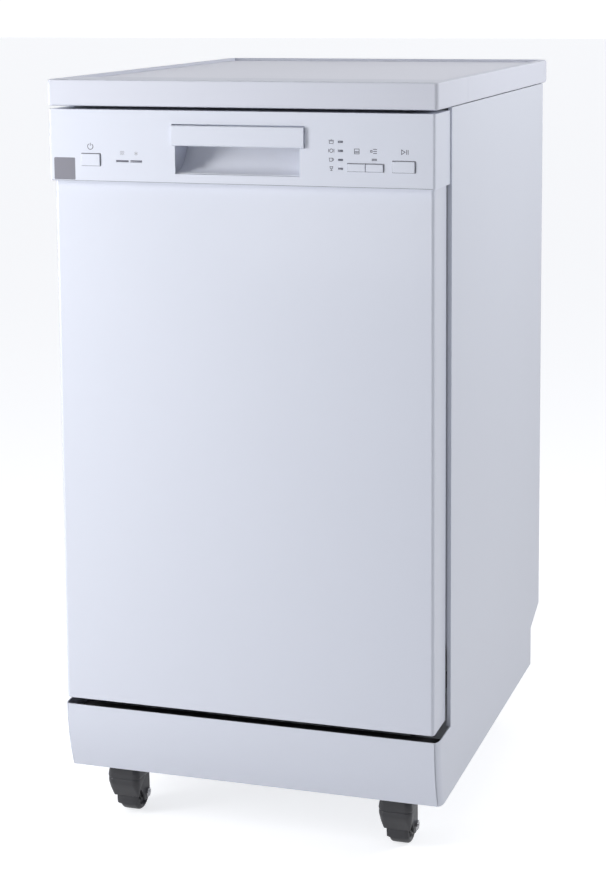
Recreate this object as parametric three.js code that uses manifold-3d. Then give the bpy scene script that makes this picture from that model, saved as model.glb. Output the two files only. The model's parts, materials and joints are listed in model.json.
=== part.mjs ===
// Portable dishwasher on casters. Millimetres, +Z up, the front faces -Y.
// Heights are measured from the floor under the casters and depths from the worktop's
// front face. The finished group is then moved so that its origin is the middle of its base.

import * as THREE from 'three';
import { mergeVertices } from 'three/addons/utils/BufferGeometryUtils.js';
import Module from 'manifold-3d';

const wasm = await Module();
wasm.setup();

// ---- driving dimensions ----------------------------------------------------------------

const GAP = 0.3; // between pieces that seat on each other
const FIT = 0.4; // round a lens, a button or an insert in its hole
const TURN_FIT = 1.2; // round a faceted part that turns in a faceted hole

// worktop
const WIDTH = 450;
const HEIGHT = 873;
const WORKTOP_DEPTH = 610.5;
const WORKTOP_THICKNESS = 29.5;
const WORKTOP_FRONT_STRIP = 60; // flush strip along the front
const WORKTOP_WING = 136; // how far back the front trim's wings reach
const WORKTOP_RIM = 9.3; // width of the trim round the board
const WORKTOP_RECESS = 3.5; // board below the rim
const WORKTOP_EDGE = 2.5; // rounding of the trim's edges
const WORKTOP_REAR_RADIUS = 19;
const WORKTOP_FRONT_RADIUS = 5;
const TRIM_LIP = 3; // ledge that carries the board
const TRIM_LEDGE = 12;

// cabinet
const CABINET_INSET = 0.5; // its sides, under the worktop's
const CABINET_FRONT = 63.5;
const REAR_OVERHANG = 38; // worktop past the cabinet's back
const SHEET = 1.5;
const SIDE_HEM = 4.6; // front fold of the side panel
const REAR_HEM = 17;
const BASE_HEIGHT = 68; // underside of the cabinet
const NOTCH_HIGH = 69.4; // hose notch at the lower rear, above the underside
const NOTCH_LOW = 50;
const NOTCH_DEPTH = 52.8;

// plinth
const PLINTH_FRONT = 8.3;
const PLINTH_HEIGHT = 79;
const PLINTH_LEAN = 15; // how far its bottom lies behind its top
const PLINTH_CORNER_X = 6;
const PLINTH_CORNER_Y = 14;
const PLINTH_RETURN = 40;

// base tray and casters
const TRAY_FRONT = 26;
const TRAY_HEIGHT = 36;
const TRAY_WALL = 2.5;
const CASTER_INSET = 59.4; // swivel axis from the worktop's side
const CASTER_FRONT_Y = 58;
const CASTER_REAR_INSET = 112.5; // from the cabinet's back
const STEM_RADIUS = 5.5;
const BOSS_RADIUS = 15;
const WHEEL_RADIUS = 21;
const WHEEL_WIDTH = 24;
const WHEEL_TRAIL = 17; // axle behind the swivel axis
const AXLE_RADIUS = 3;
const FORK_PLATE = 3.2;
const FORK_HOOD_HALF = 20;

// door
const DOOR_INSET = 5.4; // its sides, from the worktop's
const DOOR_FRONT = 5.8;
const DOOR_REAR = 57.9;
const DOOR_GAP = 9; // above the plinth
const DOOR_RADIUS = 4;
const DOOR_LIP = 6.6;
const DOOR_HEEL_Y = 37; // how deep the door's foot is between its sides, to swing under the tub
const DOOR_HEEL_DROP = 14; // top of that foot, below the hinge pins
const DOOR_SLOPE_RISE = 40; // end of the slope above it, over the pins
const CONSOLE_INSET = 2.7; // its ends, from the worktop's sides
const CONSOLE_FRONT = -2;
const CONSOLE_REAR = 62.9;
const CONSOLE_HEIGHT = 80;
const CONSOLE_TOP_GAP = 3.5; // under the worktop
const CONSOLE_WALL = 2.5;
const CONSOLE_RADIUS = 3;
const LINER_INSET = 7.1; // its sides, from the door's
const LINER_FACE = 62; // rear face of the inner door
const LINER_SHEET = 1.2;
const LINER_RETURN = 10;
const LINER_RECESS = 8;
const RECESS_INSET = 42.5; // from the liner's sides
const RECESS_RISE = 46; // its bottom, over the hinge pins
const RECESS_DROP = 60; // its top, below the console's top
const LINER_NOTCH_RISE = 22; // opening at its lower corners, over the hinge pins

// handle and pocket, centred a little to the right of the middle
const HANDLE_LEFT = -74.5;
const HANDLE_RIGHT = 77.5;
const HANDLE_DROP = 16; // below the console's top
const HANDLE_HEIGHT = 22.3;
const HANDLE_PROUD = 3.5;
const HANDLE_WALL = 4;
const PIVOT_Y = 3; // of the handle
const PIVOT_DROP = 3.5; // below the handle's top
const PIVOT_RADIUS = 1.6;
const POCKET_LEFT = -71.5;
const POCKET_RIGHT = 72;
const POCKET_DROP = 31.2; // below the handle
const POCKET_DEPTH = 40;
const POCKET_WALL = 2.3;

// buttons: name, side of the console, distances from its end and from its bottom edge
const BUTTONS = [
  ['power_button', -1, 39.7, 61.8, 17.6, 30.7],
  ['program_button', 1, 96.6, 76.7, 17.7, 25.7],
  ['option_button', 1, 76.1, 56.9, 17.7, 25.7],
  ['start_button', 1, 46.7, 22.2, 17.4, 29.3],
];
const BUTTON_PROUD = 1.5;

// indicator windows: side, distances from that end, middle height over the bottom edge
const LIGHTS = [
  [-1, 81.2, 95.5, 23.3],
  [-1, 98.2, 111.5, 23.3],
  [1, 106.8, 101.8, 49.1],
  [1, 106.8, 101.8, 39.5],
  [1, 106.8, 101.8, 29.8],
  [1, 106.8, 101.8, 20.2],
  [1, 69.3, 64.3, 30.6],
];
const LIGHT_HEIGHT = 1.8;

// latch between the console and the worktop
const STRIKE_HALF = 7;
const STRIKE_DROP = 8; // middle of the strike's tongue, below the console's top
const STRIKE_THICKNESS = 4;
const STRIKE_TIP = 46; // its front end, inside the door
const LATCH_HALF = 24; // half width of the latch housing
const CLAW_Y = 50;
const CLAW_DROP = 20; // the claw's axis, below the strike

// tub
const TUB_INSET = 19.5; // from the cabinet's sides
const TUB_DROP = 25.5; // below the worktop
const TUB_REAR_INSET = 24.5; // from the cabinet's back
const TUB_RISE = 120; // its floor, above the underside
const TUB_SHEET = 1.2;
const TUB_FRONT = 66;
const TUB_RADIUS = 12;
const FLANGE_INSET = 0.5; // from the cabinet's sides
const FLANGE_DROP = 4; // below the worktop
const FLANGE_RISE = 16; // over the hinge pins
const GASKET_WIDTH = 8;

// hinges
const HINGE_Y = 50;
const HINGE_RISE = 47; // above the plinth
const HINGE_PIN = 4;
const HINGE_ARM_INSET = 3.5; // inside the liner's sides
const HINGE_PLATE = 3;
const HINGE_PLAY = 2; // between arm and bracket

// sump, filter and spray arms share one axis
const SUMP_Y = 306;
const SUMP_HOLE = 100;
const SUMP_INSET = 10; // the sump's wall inside the hole
const SUMP_RISE = 32; // its bottom, above the underside
const SUMP_WALL = 2.5;
const HUB_RADIUS = 11;
const FILTER_HUB_GAP = 9; // between the feed pipe and the filter cup
const FILTER_WALL_GAP = 7.5; // between the cup and the sump's wall
const FILTER_RISE = 22; // bottom of the cup, over the sump's
const LOWER_ARM_RISE = 38; // over the tub's floor
const LOWER_ARM_INSET = 25.5; // its tips, from the tub's sides
const UPPER_ARM_DROP = 42; // below the upper rack
const UPPER_ARM_INSET = 35.5;

// fittings in the tray's rear wall
const FITTING_RISE = 20; // above the underside
const FITTING_REACH = 16; // past the wall
const INLET_X = 112;
const INLET_RADIUS = 13;
const DRAIN_X = 60;
const DRAIN_RADIUS = 9;
const GLAND_X = -115;
const GLAND_RADIUS = 8;

// racks
const WIRE = 3.4; // wire thickness
const RIM_WIRE = 4.6;
const WIRE_LAP = 0.5; // how deep crossing wires are welded into each other
// distances from the tub's sides, front and rear; over its floor or below its top
const LOWER_RACK = { side: 23.5, front: 31, rear: 28, rise: 70, height: 140, tines: 72 };
const UPPER_RACK = { side: 19.5, front: 31, rear: 38, drop: 260, height: 130, tines: 52 };
const RACK_WHEEL_RADIUS = 16;
const RACK_WHEEL_WIDTH = 9;
const RACK_WHEEL_FRONT = 53; // from the rack's front
const RACK_WHEEL_REAR = 65; // from its rear
const RAIL_DROP = 60; // middle of the upper rack's rails, below its rim
const RAIL_HEIGHT = 24;
const RAIL_LIP = 4;

// cutlery basket in the lower rack, side and front measured from the rack's
const BASKET = { side: 12, front: 31, width: 72, depth: 190, height: 104, wall: 2.2, handle: 44 };

// dispenser in the inner door
const CUP_BODY = { left: -70, right: 70, bottom: 425, top: 565, proud: 4, depth: 32 };
const CUP = { left: -62, right: 2, bottom: 500, top: 556, depth: 25 };
const LID_MARGIN = 4;
const LID_THICKNESS = 3;
const CAP_X = 38;
const CAP_Z = 528;
const CAP_RADIUS = 15;

// ---- values worked out from them -------------------------------------------------------

const halfWidth = WIDTH / 2;
const halfCabinet = halfWidth - CABINET_INSET;
const insideCabinet = halfCabinet - SHEET;
const worktopUnder = HEIGHT - WORKTOP_THICKNESS;
const cabinetTop = worktopUnder - GAP;
const cabinetRear = WORKTOP_DEPTH - REAR_OVERHANG;
const notchTop = BASE_HEIGHT + NOTCH_HIGH;
const notchBottom = BASE_HEIGHT + NOTCH_LOW;
const plinthTop = BASE_HEIGHT + PLINTH_HEIGHT;
const trayBottom = BASE_HEIGHT + SHEET + GAP;
const trayTop = trayBottom + TRAY_HEIGHT;
const trayRear = cabinetRear - NOTCH_DEPTH - SHEET;
const casterX = halfWidth - CASTER_INSET;
const casterRearY = cabinetRear - CASTER_REAR_INSET;
const fittingZ = BASE_HEIGHT + FITTING_RISE;

const hingeZ = plinthTop + HINGE_RISE;
const doorHalf = halfWidth - DOOR_INSET;
const doorBottom = plinthTop + DOOR_GAP;
const consoleHalf = halfWidth - CONSOLE_INSET;
const consoleTop = worktopUnder - CONSOLE_TOP_GAP;
const consoleBottom = consoleTop - CONSOLE_HEIGHT;
const doorTop = consoleBottom - GAP;
const linerHalf = doorHalf - LINER_INSET;
const linerNotchTop = hingeZ + LINER_NOTCH_RISE;
const hingeArmX = linerHalf - HINGE_ARM_INSET;
const hingeBracketX = hingeArmX + HINGE_PLATE + HINGE_PLAY;
const handleFront = CONSOLE_FRONT - HANDLE_PROUD;
const handleTop = consoleTop - HANDLE_DROP;
const handleBottom = handleTop - HANDLE_HEIGHT;
const pivotZ = handleTop - PIVOT_DROP;
const pocketBottom = handleBottom - POCKET_DROP;
const strikeZ = consoleTop - STRIKE_DROP;
const clawZ = strikeZ - CLAW_DROP;
const buttons = BUTTONS.map(([name, side, start, end, low, high]) => [
  name, side * (consoleHalf - start), side * (consoleHalf - end),
  consoleBottom + low, consoleBottom + high,
]);
const lights = LIGHTS.map(([side, start, end, middle]) => [
  side * (consoleHalf - start), side * (consoleHalf - end), consoleBottom + middle,
]);

const tubHalf = insideCabinet - TUB_INSET;
const tubTop = worktopUnder - TUB_DROP;
const tubRear = cabinetRear - TUB_REAR_INSET;
const tubFloor = BASE_HEIGHT + TUB_RISE;
const flangeHalf = insideCabinet - FLANGE_INSET;
const flangeTop = worktopUnder - FLANGE_DROP;
const flangeBottom = hingeZ + FLANGE_RISE;
const sumpRadius = SUMP_HOLE - SUMP_INSET;
const sumpBottom = BASE_HEIGHT + SUMP_RISE;
const filterNear = HUB_RADIUS + FILTER_HUB_GAP;
const filterRadius = (sumpRadius - SUMP_WALL - FILTER_WALL_GAP - filterNear) / 2;
const filterY = SUMP_Y + filterNear + filterRadius;
const lowerRack = rackPlace(LOWER_RACK, tubFloor + LOWER_RACK.rise);
const upperRack = rackPlace(UPPER_RACK, tubTop - UPPER_RACK.drop);
const railZ = upperRack.top - RAIL_DROP;
const lowerArmZ = tubFloor + LOWER_ARM_RISE;
const upperArmZ = upperRack.floor - UPPER_ARM_DROP;
const far = 2000; // longer than the object, for cutting tools

function rackPlace({ side, front, rear, height, tines }, floor) {
  return {
    half: tubHalf - side, front: TUB_FRONT + front, rear: tubRear - rear, floor,
    top: floor + height, tines,
  };
}

// ---- solids ----------------------------------------------------------------------------

function solid(geometry) {
  const bare = geometry.clone();
  bare.deleteAttribute('normal');
  bare.deleteAttribute('uv');
  const merged = mergeVertices(bare, 1e-4);
  const vertProperties = new Float32Array(merged.attributes.position.array);
  const triVerts = new Uint32Array(merged.index.array);
  return new wasm.Manifold(new wasm.Mesh({ numProp: 3, vertProperties, triVerts }));
}

function union(parts) {
  return parts.reduce((sum, part) => sum.add(part));
}

function block(x0, x1, y0, y1, z0, z1) {
  const size = [x1 - x0, y1 - y0, z1 - z0].map(Math.abs);
  const box = new THREE.BoxGeometry(...size);
  box.translate((x0 + x1) / 2, (y0 + y1) / 2, (z0 + z1) / 2);
  return solid(box);
}

// A shape drawn in (x, y), (y, z) or (x, z) and extruded along z, x or y.
const BASES = {
  z: [[1, 0, 0], [0, 1, 0], [0, 0, 1]],
  x: [[0, 1, 0], [0, 0, 1], [1, 0, 0]],
  y: [[1, 0, 0], [0, 0, 1], [0, -1, 0]],
};

function prism(axis, shape, a, b, options = {}) {
  const low = Math.min(a, b);
  const high = Math.max(a, b);
  const bevel = options.bevel ?? 0;
  const geometry = new THREE.ExtrudeGeometry(shape, {
    depth: high - low - 2 * bevel,
    steps: options.steps ?? 1,
    curveSegments: options.curve ?? 2,
    bevelEnabled: bevel > 0,
    bevelThickness: bevel,
    bevelSize: bevel,
    bevelOffset: -bevel,
    bevelSegments: options.rounds ?? 1,
  });
  geometry.translate(0, 0, bevel);
  const [right, up, along] = BASES[axis].map((v) => new THREE.Vector3(...v));
  geometry.applyMatrix4(new THREE.Matrix4().makeBasis(right, up, along));
  const start = along.clone().multiplyScalar(axis === 'y' ? -high : low);
  geometry.translate(start.x, start.y, start.z);
  if (options.bend) options.bend(geometry.attributes.position);
  return solid(geometry);
}

function polygon(points) {
  return new THREE.Shape(points.map(([u, v]) => new THREE.Vector2(u, v)));
}

// A rectangle whose corners, from the lower left anticlockwise, have the radii given.
function rounded(u0, u1, v0, v1, radii) {
  const [a, b, c, d] = Array.isArray(radii) ? radii : [radii, radii, radii, radii];
  const shape = new THREE.Shape();
  shape.moveTo(u0 + a, v0);
  shape.lineTo(u1 - b, v0);
  if (b) shape.absarc(u1 - b, v0 + b, b, -Math.PI / 2, 0, false);
  shape.lineTo(u1, v1 - c);
  if (c) shape.absarc(u1 - c, v1 - c, c, 0, Math.PI / 2, false);
  shape.lineTo(u0 + d, v1);
  if (d) shape.absarc(u0 + d, v1 - d, d, Math.PI / 2, Math.PI, false);
  shape.lineTo(u0, v0 + a);
  if (a) shape.absarc(u0 + a, v0 + a, a, Math.PI, 1.5 * Math.PI, false);
  return shape;
}

// A round bar along an axis; u and v are its centre in the other two axes.
function rod(axis, u, v, radius, from, to, sides = 12) {
  const bar = new THREE.CylinderGeometry(radius, radius, Math.abs(to - from), sides);
  const middle = (from + to) / 2;
  if (axis === 'x') bar.rotateZ(Math.PI / 2).translate(middle, u, v);
  if (axis === 'y') bar.translate(u, middle, v);
  if (axis === 'z') bar.rotateX(Math.PI / 2).translate(u, v, middle);
  return solid(bar);
}

// A profile of (radius, height) points turned about a line along an axis.
function turned(profile, axis, x, y, z, sides = 24) {
  const points = profile.map(([radius, height]) => new THREE.Vector2(radius, height));
  const lathe = new THREE.LatheGeometry(points, sides);
  if (axis === 'z') lathe.rotateX(Math.PI / 2);
  if (axis === 'x') lathe.rotateZ(-Math.PI / 2);
  lathe.translate(x, y, z);
  return solid(lathe);
}

// A bar bent along straight runs: the path visits each point in turn.
class Bends extends THREE.Curve {
  constructor(points) {
    super();
    this.points = points.map((p) => new THREE.Vector3(...p));
  }

  getPointAt(t) {
    const last = this.points.length - 1;
    return this.points[Math.round(t * last)].clone();
  }

  getTangentAt(t) {
    const last = this.points.length - 1;
    const i = Math.round(t * last);
    const before = this.points[Math.max(i - 1, 0)];
    const here = this.points[i];
    const after = this.points[Math.min(i + 1, last)];
    const into = here.clone().sub(before).normalize();
    const out = after.clone().sub(here).normalize();
    return into.add(out).normalize();
  }
}

function bar(points, thickness, sides) {
  const section = new THREE.Shape();
  for (let i = 0; i < sides; i += 1) {
    const angle = (2 * Math.PI * (i + 0.5)) / sides;
    const reach = thickness / 2 / Math.cos(Math.PI / sides);
    const u = reach * Math.cos(angle);
    const v = reach * Math.sin(angle);
    if (i === 0) section.moveTo(u, v);
    else section.lineTo(u, v);
  }
  const extrudePath = new Bends(points);
  const geometry = new THREE.ExtrudeGeometry(section, { extrudePath, steps: points.length - 1 });
  mitre(geometry.attributes.position, extrudePath.points);
  return solid(geometry);
}

// Widens the section at each bend, so that the runs between bends keep their thickness.
function mitre(position, path) {
  const corner = new THREE.Vector3();
  for (let i = 0; i < position.count; i += 1) {
    corner.fromBufferAttribute(position, i);
    const distances = path.map((p) => p.distanceToSquared(corner));
    const at = distances.indexOf(Math.min(...distances));
    if (at === 0 || at === path.length - 1) continue;
    const into = path[at].clone().sub(path[at - 1]).normalize();
    const out = path[at + 1].clone().sub(path[at]).normalize();
    const halfCosine = Math.sqrt((1 + into.dot(out)) / 2);
    const inward = out.clone().sub(into).normalize();
    const reach = corner.clone().sub(path[at]).dot(inward);
    corner.addScaledVector(inward, reach * (1 / halfCosine - 1));
    position.setXYZ(i, corner.x, corner.y, corner.z);
  }
}

// Each corner of an open path becomes two points, so that the bend is eased.
function eased(points, radius) {
  const path = [points[0]];
  for (let i = 1; i < points.length - 1; i += 1) {
    for (const other of [points[i - 1], points[i + 1]]) {
      const here = new THREE.Vector3(...points[i]);
      const away = new THREE.Vector3(...other).sub(here).setLength(radius);
      path.push(here.add(away).toArray());
    }
  }
  path.push(points[points.length - 1]);
  return path;
}

// Rings of as many points each, joined round and round into a closed body with a hole.
function ringLoft(rings) {
  const count = rings[0].length;
  const corners = [];
  const index = [];
  rings.forEach((ring, r) => {
    const next = ((r + 1) % rings.length) * count;
    ring.forEach((point, i) => {
      corners.push(...point);
      const a = r * count + i;
      const b = r * count + ((i + 1) % count);
      const c = next + ((i + 1) % count);
      const d = next + i;
      index.push(a, b, c, a, c, d);
    });
  });
  const geometry = new THREE.BufferGeometry();
  geometry.setAttribute('position', new THREE.Float32BufferAttribute(corners, 3));
  geometry.setIndex(index);
  return solid(geometry);
}

// ---- the tree of pieces ----------------------------------------------------------------

const COLOURS = {
  white: ['#e6e8f0', 0.35, 0],
  worktop: ['#dddde6', 0.55, 0],
  console: ['#e4e6ee', 0.4, 0],
  plastic: ['#d5d8de', 0.5, 0],
  black: ['#2b2c2f', 0.4, 0],
  rubber: ['#4a4c50', 0.8, 0],
  steel: ['#b9bcc0', 0.3, 0.9],
  zinc: ['#9da1a6', 0.45, 0.8],
  wire: ['#c4c8d0', 0.4, 0],
  board: ['#2f6b46', 0.6, 0],
  lens: ['#7c7f88', 0.2, 0],
};

const materials = {};
for (const [name, [color, roughness, metalness]] of Object.entries(COLOURS)) {
  materials[name] = new THREE.MeshStandardMaterial({ name, color, roughness, metalness });
}

const dishwasher = new THREE.Group();

function add(name, body, material, parent = dishwasher) {
  const { vertProperties, triVerts } = body.getMesh();
  const geometry = new THREE.BufferGeometry();
  geometry.setAttribute('position', new THREE.Float32BufferAttribute(vertProperties, 3));
  geometry.setIndex(new THREE.Uint32BufferAttribute(triVerts, 1));
  geometry.computeVertexNormals();
  const mesh = new THREE.Mesh(geometry, materials[material]);
  mesh.name = name;
  parent.add(mesh);
  return mesh;
}

const SIDES = [['left', -1], ['right', 1]];

// ---- worktop ---------------------------------------------------------------------------

function buildWorktop() {
  const rear = WORKTOP_REAR_RADIUS;
  const front = WORKTOP_FRONT_RADIUS;
  const plan = rounded(-halfWidth, halfWidth, 0, WORKTOP_DEPTH, [front, front, rear, rear]);
  const whole = prism('z', plan, worktopUnder, HEIGHT, { bevel: WORKTOP_EDGE, curve: 3, rounds: 2 });

  const boardHalf = halfWidth - WORKTOP_RIM;
  const boardRear = WORKTOP_DEPTH - WORKTOP_RIM;
  const boardFront = TRIM_LIP + GAP;
  const boardTop = HEIGHT - WORKTOP_RECESS;
  const boardUnder = worktopUnder + TRIM_LIP + GAP;

  const cut = GAP;
  const well = block(-boardHalf, boardHalf, WORKTOP_FRONT_STRIP, boardRear, boardUnder - cut, far);
  const underStrip = block(
    -boardHalf, boardHalf, TRIM_LIP, WORKTOP_FRONT_STRIP + 1, boardUnder - cut, boardTop + cut,
  );
  const window = block(
    TRIM_LEDGE - boardHalf, boardHalf - TRIM_LEDGE, TRIM_LEDGE, boardRear - TRIM_LEDGE, 0, far,
  );
  const through = window.intersect(block(-far, far, -far, far, 0, boardUnder));
  const trim = whole.subtract(well).subtract(underStrip).subtract(through);
  const seam = GAP / 2;
  const wings = block(-far, far, -far, WORKTOP_WING - seam, 0, far);
  const rearPart = block(-far, far, WORKTOP_WING + seam, far, 0, far);
  add('worktop_front_trim', trim.intersect(wings), 'worktop');
  add('worktop_rear_trim', trim.intersect(rearPart), 'worktop');

  const side = boardHalf - GAP;
  add('worktop_board', block(-side, side, boardFront, boardRear - GAP, boardUnder, boardTop), 'worktop');
}

// ---- cabinet ---------------------------------------------------------------------------

// The plinth's sheet: a wide U in plan, leaned back towards its bottom edge.
function plinthSheet() {
  const inner = insideCabinet;
  const turn = halfCabinet - PLINTH_CORNER_X;
  const rx = PLINTH_CORNER_X;
  const ry = PLINTH_CORNER_Y;
  const quarter = Math.PI / 2;
  const plan = new THREE.Shape();
  plan.moveTo(halfCabinet, PLINTH_RETURN);
  plan.lineTo(halfCabinet, ry);
  plan.absellipse(turn, ry, rx, ry, 0, -quarter, true);
  plan.lineTo(-turn, 0);
  plan.absellipse(-turn, ry, rx, ry, -quarter, -2 * quarter, true);
  plan.lineTo(-halfCabinet, PLINTH_RETURN);
  plan.lineTo(-inner, PLINTH_RETURN);
  plan.lineTo(-inner, ry);
  plan.absellipse(-turn, ry, rx - SHEET, ry - SHEET, -2 * quarter, -quarter, false);
  plan.lineTo(turn, SHEET);
  plan.absellipse(turn, ry, rx - SHEET, ry - SHEET, -quarter, 0, false);
  plan.lineTo(inner, PLINTH_RETURN);
  const bend = (position) => {
    for (let i = 0; i < position.count; i += 1) {
      const down = (plinthTop - position.getZ(i)) / PLINTH_HEIGHT;
      position.setY(i, position.getY(i) + PLINTH_FRONT + PLINTH_LEAN * down * down);
    }
  };
  return prism('z', plan, BASE_HEIGHT, plinthTop, { steps: 4, bend });
}

function buildCabinet() {
  const sheet = plinthSheet();
  const seam = halfCabinet - PLINTH_CORNER_X + 1;
  const foot = block(
    -seam + 3, seam - 3, PLINTH_FRONT + PLINTH_LEAN + 0.5, CASTER_FRONT_Y - 13,
    BASE_HEIGHT, BASE_HEIGHT + SHEET,
  );
  const face = sheet.intersect(block(-seam, seam, -far, far, 0, far));
  add('plinth_front', face.add(foot), 'white');

  const rearLow = cabinetRear - NOTCH_DEPTH;
  const outline = polygon([
    [PLINTH_RETURN, BASE_HEIGHT],
    [rearLow, BASE_HEIGHT],
    [rearLow, notchBottom],
    [cabinetRear, notchTop],
    [cabinetRear, cabinetTop],
    [CABINET_FRONT, cabinetTop],
    [CABINET_FRONT, plinthTop],
    [PLINTH_RETURN, plinthTop],
  ]);
  for (const [side, s] of SIDES) {
    const skin = prism('x', outline, s * insideCabinet, s * halfCabinet);
    const hem = block(
      s * (halfCabinet - SIDE_HEM), s * halfCabinet,
      CABINET_FRONT, CABINET_FRONT + SHEET, plinthTop, cabinetTop,
    );
    const rearHem = block(
      s * (halfCabinet - REAR_HEM), s * halfCabinet,
      cabinetRear - SHEET, cabinetRear, notchTop, cabinetTop,
    );
    const wrap = sheet.intersect(block(s * (seam + GAP), s * far, -far, far, 0, far));
    add(`side_panel_${side}`, union([skin, hem, rearHem, wrap]), 'white');
  }

  const backFace = cabinetRear - SHEET - GAP;
  const backHalf = insideCabinet - GAP;
  const back = block(-backHalf, backHalf, backFace - SHEET, backFace, notchTop + 2, cabinetTop);
  const ribs = [-120, 0, 120].map((x) => (
    prism('z', polygon([
      [x - 14, backFace - SHEET + 0.2],
      [x + 14, backFace - SHEET + 0.2],
      [x + 9, backFace - SHEET - 4],
      [x - 9, backFace - SHEET - 4],
    ]), notchTop + 40, cabinetTop - 60)
  ));
  add('back_panel', union([back, ...ribs]), 'zinc');
}

function buildTray() {
  const half = insideCabinet - GAP;
  const plan = rounded(-half, half, TRAY_FRONT, trayRear, [12, 12, 3, 3]);
  const inner = rounded(
    TRAY_WALL - half, half - TRAY_WALL, TRAY_FRONT + TRAY_WALL, trayRear - TRAY_WALL, [10, 10, 2, 2],
  );
  let tray = prism('z', plan, trayBottom, trayTop)
    .subtract(prism('z', inner, trayBottom + TRAY_WALL, trayTop + 1));
  const ribTop = trayTop - 8;
  for (const s of [-1, 1]) {
    const x = s * (casterX - BOSS_RADIUS - 6);
    tray = tray.add(
      block(x - 1.5, x + 1.5, TRAY_FRONT + 1, trayRear - 1, trayBottom + 1, ribTop - 14),
    );
    for (const y of [CASTER_FRONT_Y, casterRearY]) {
      const boss = rod('z', s * casterX, y, BOSS_RADIUS, trayBottom + 1, ribTop, 10);
      tray = tray.add(boss);
    }
  }
  for (const s of [-1, 1]) {
    for (const y of [CASTER_FRONT_Y, casterRearY]) {
      tray = tray.subtract(rod('z', s * casterX, y, STEM_RADIUS + TURN_FIT, 0, far, 8));
    }
  }
  const rearWall = (x, radius) => rod('y', x, fittingZ, radius + GAP, trayRear - 8, far, 12);
  tray = tray
    .subtract(rearWall(INLET_X, INLET_RADIUS))
    .subtract(rearWall(DRAIN_X, DRAIN_RADIUS))
    .subtract(rearWall(GLAND_X, GLAND_RADIUS));
  add('base_tray', tray, 'zinc');
}

// ---- casters ---------------------------------------------------------------------------

function buildCaster(name, x, y) {
  const axleZ = WHEEL_RADIUS;
  const axleY = WHEEL_TRAIL;
  const top = BASE_HEIGHT - 1.5;
  const inside = WHEEL_WIDTH / 2 + 0.6;
  const outside = inside + FORK_PLATE;
  const tread = axleY - WHEEL_RADIUS;
  const nose = tread - 17;
  const hoodLow = axleZ + WHEEL_RADIUS + 9;
  const plates = polygon([
    [nose, top], [20, top], [axleY + 10, hoodLow - 3], [axleY + 9.5, axleZ + 1],
    [axleY + 7, axleZ - 6.5], [axleY, axleZ - 9.5], [axleY - 7, axleZ - 6.5],
    [tread + 1, axleZ + 12], [nose, hoodLow - 1],
  ]);
  const hood = polygon([[nose, hoodLow], [axleY + 8.5, hoodLow], [20, top], [nose, top]]);
  const slot = polygon([
    [nose + FORK_PLATE, top - 5], [60, top - 5], [60, -5], [-60, -5], [-60, axleZ + 11],
    [tread + 2, axleZ + 11], [tread + 3.5, axleZ + 14], [nose + FORK_PLATE, hoodLow + 0.5],
  ]);
  const body = prism('x', plates, -outside, outside)
    .add(prism('x', hood, -FORK_HOOD_HALF, FORK_HOOD_HALF))
    .subtract(prism('x', slot, -inside, inside));
  const stem = rod('z', 0, 0, STEM_RADIUS, top - 1, trayTop - 10, 8);
  const collar = rod('z', 0, 0, 11, top - 1, trayBottom - GAP, 10);
  const axle = rod('x', axleY, axleZ, AXLE_RADIUS, 1 - outside, outside - 1, 8);
  const nut = rod('x', axleY, axleZ, 5.5, outside - 1, outside + 3, 6);
  const head = rod('x', axleY, axleZ, 5.5, -outside - 2, 1 - outside, 8);
  const mount = new THREE.Group();
  mount.position.set(x, y, 0);
  dishwasher.add(mount);
  add(`caster_fork_${name}`, union([body, stem, collar, axle, nut, head]), 'black', mount);

  const half = WHEEL_WIDTH / 2;
  const bore = AXLE_RADIUS + GAP;
  const tyre = [
    [bore, -half], [WHEEL_RADIUS - 5, -half], [WHEEL_RADIUS, 5 - half], [WHEEL_RADIUS, half - 5],
    [WHEEL_RADIUS - 5, half], [bore, half], [bore, -half],
  ];
  add(`caster_wheel_${name}`, turned(tyre, 'x', 0, axleY, axleZ, 16), 'black', mount);
}

// ---- door ------------------------------------------------------------------------------

function buildDoorPanel() {
  const r = DOOR_RADIUS;
  const outer = rounded(-doorHalf, doorHalf, DOOR_FRONT, DOOR_REAR, [r, r, 0, 0]);
  const hollow = rounded(
    SHEET - doorHalf, doorHalf - SHEET, DOOR_FRONT + SHEET, DOOR_REAR - SHEET,
    [r - SHEET, r - SHEET, 0, 0],
  );
  const lipInside = doorHalf - DOOR_LIP;
  const shell = prism('z', outer, doorBottom, doorTop)
    .subtract(prism('z', hollow, doorBottom + SHEET, doorTop - SHEET))
    .subtract(block(-lipInside, lipInside, DOOR_REAR - 10, far, 0, far));
  const head = block(-lipInside, lipInside, 30, far, doorTop - 2 * SHEET, far);
  const heel = prism('x', polygon([
    [DOOR_HEEL_Y, 0], [far, 0], [far, hingeZ + DOOR_SLOPE_RISE],
    [DOOR_REAR, hingeZ + DOOR_SLOPE_RISE], [DOOR_HEEL_Y, hingeZ - DOOR_HEEL_DROP],
  ]), SHEET - doorHalf, doorHalf - SHEET);
  add('door_panel', shell.subtract(head).subtract(heel), 'white');
}

function pocketProfile(front, bottom, rear, top) {
  const shape = new THREE.Shape();
  shape.moveTo(front, bottom);
  shape.lineTo(CONSOLE_FRONT + CONSOLE_WALL, bottom);
  const bendY = CONSOLE_FRONT + 0.72 * (rear - CONSOLE_FRONT);
  shape.quadraticCurveTo(bendY, bottom + 1.5, rear, handleBottom - 3);
  shape.lineTo(rear, top);
  shape.lineTo(front, top);
  return shape;
}

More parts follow.
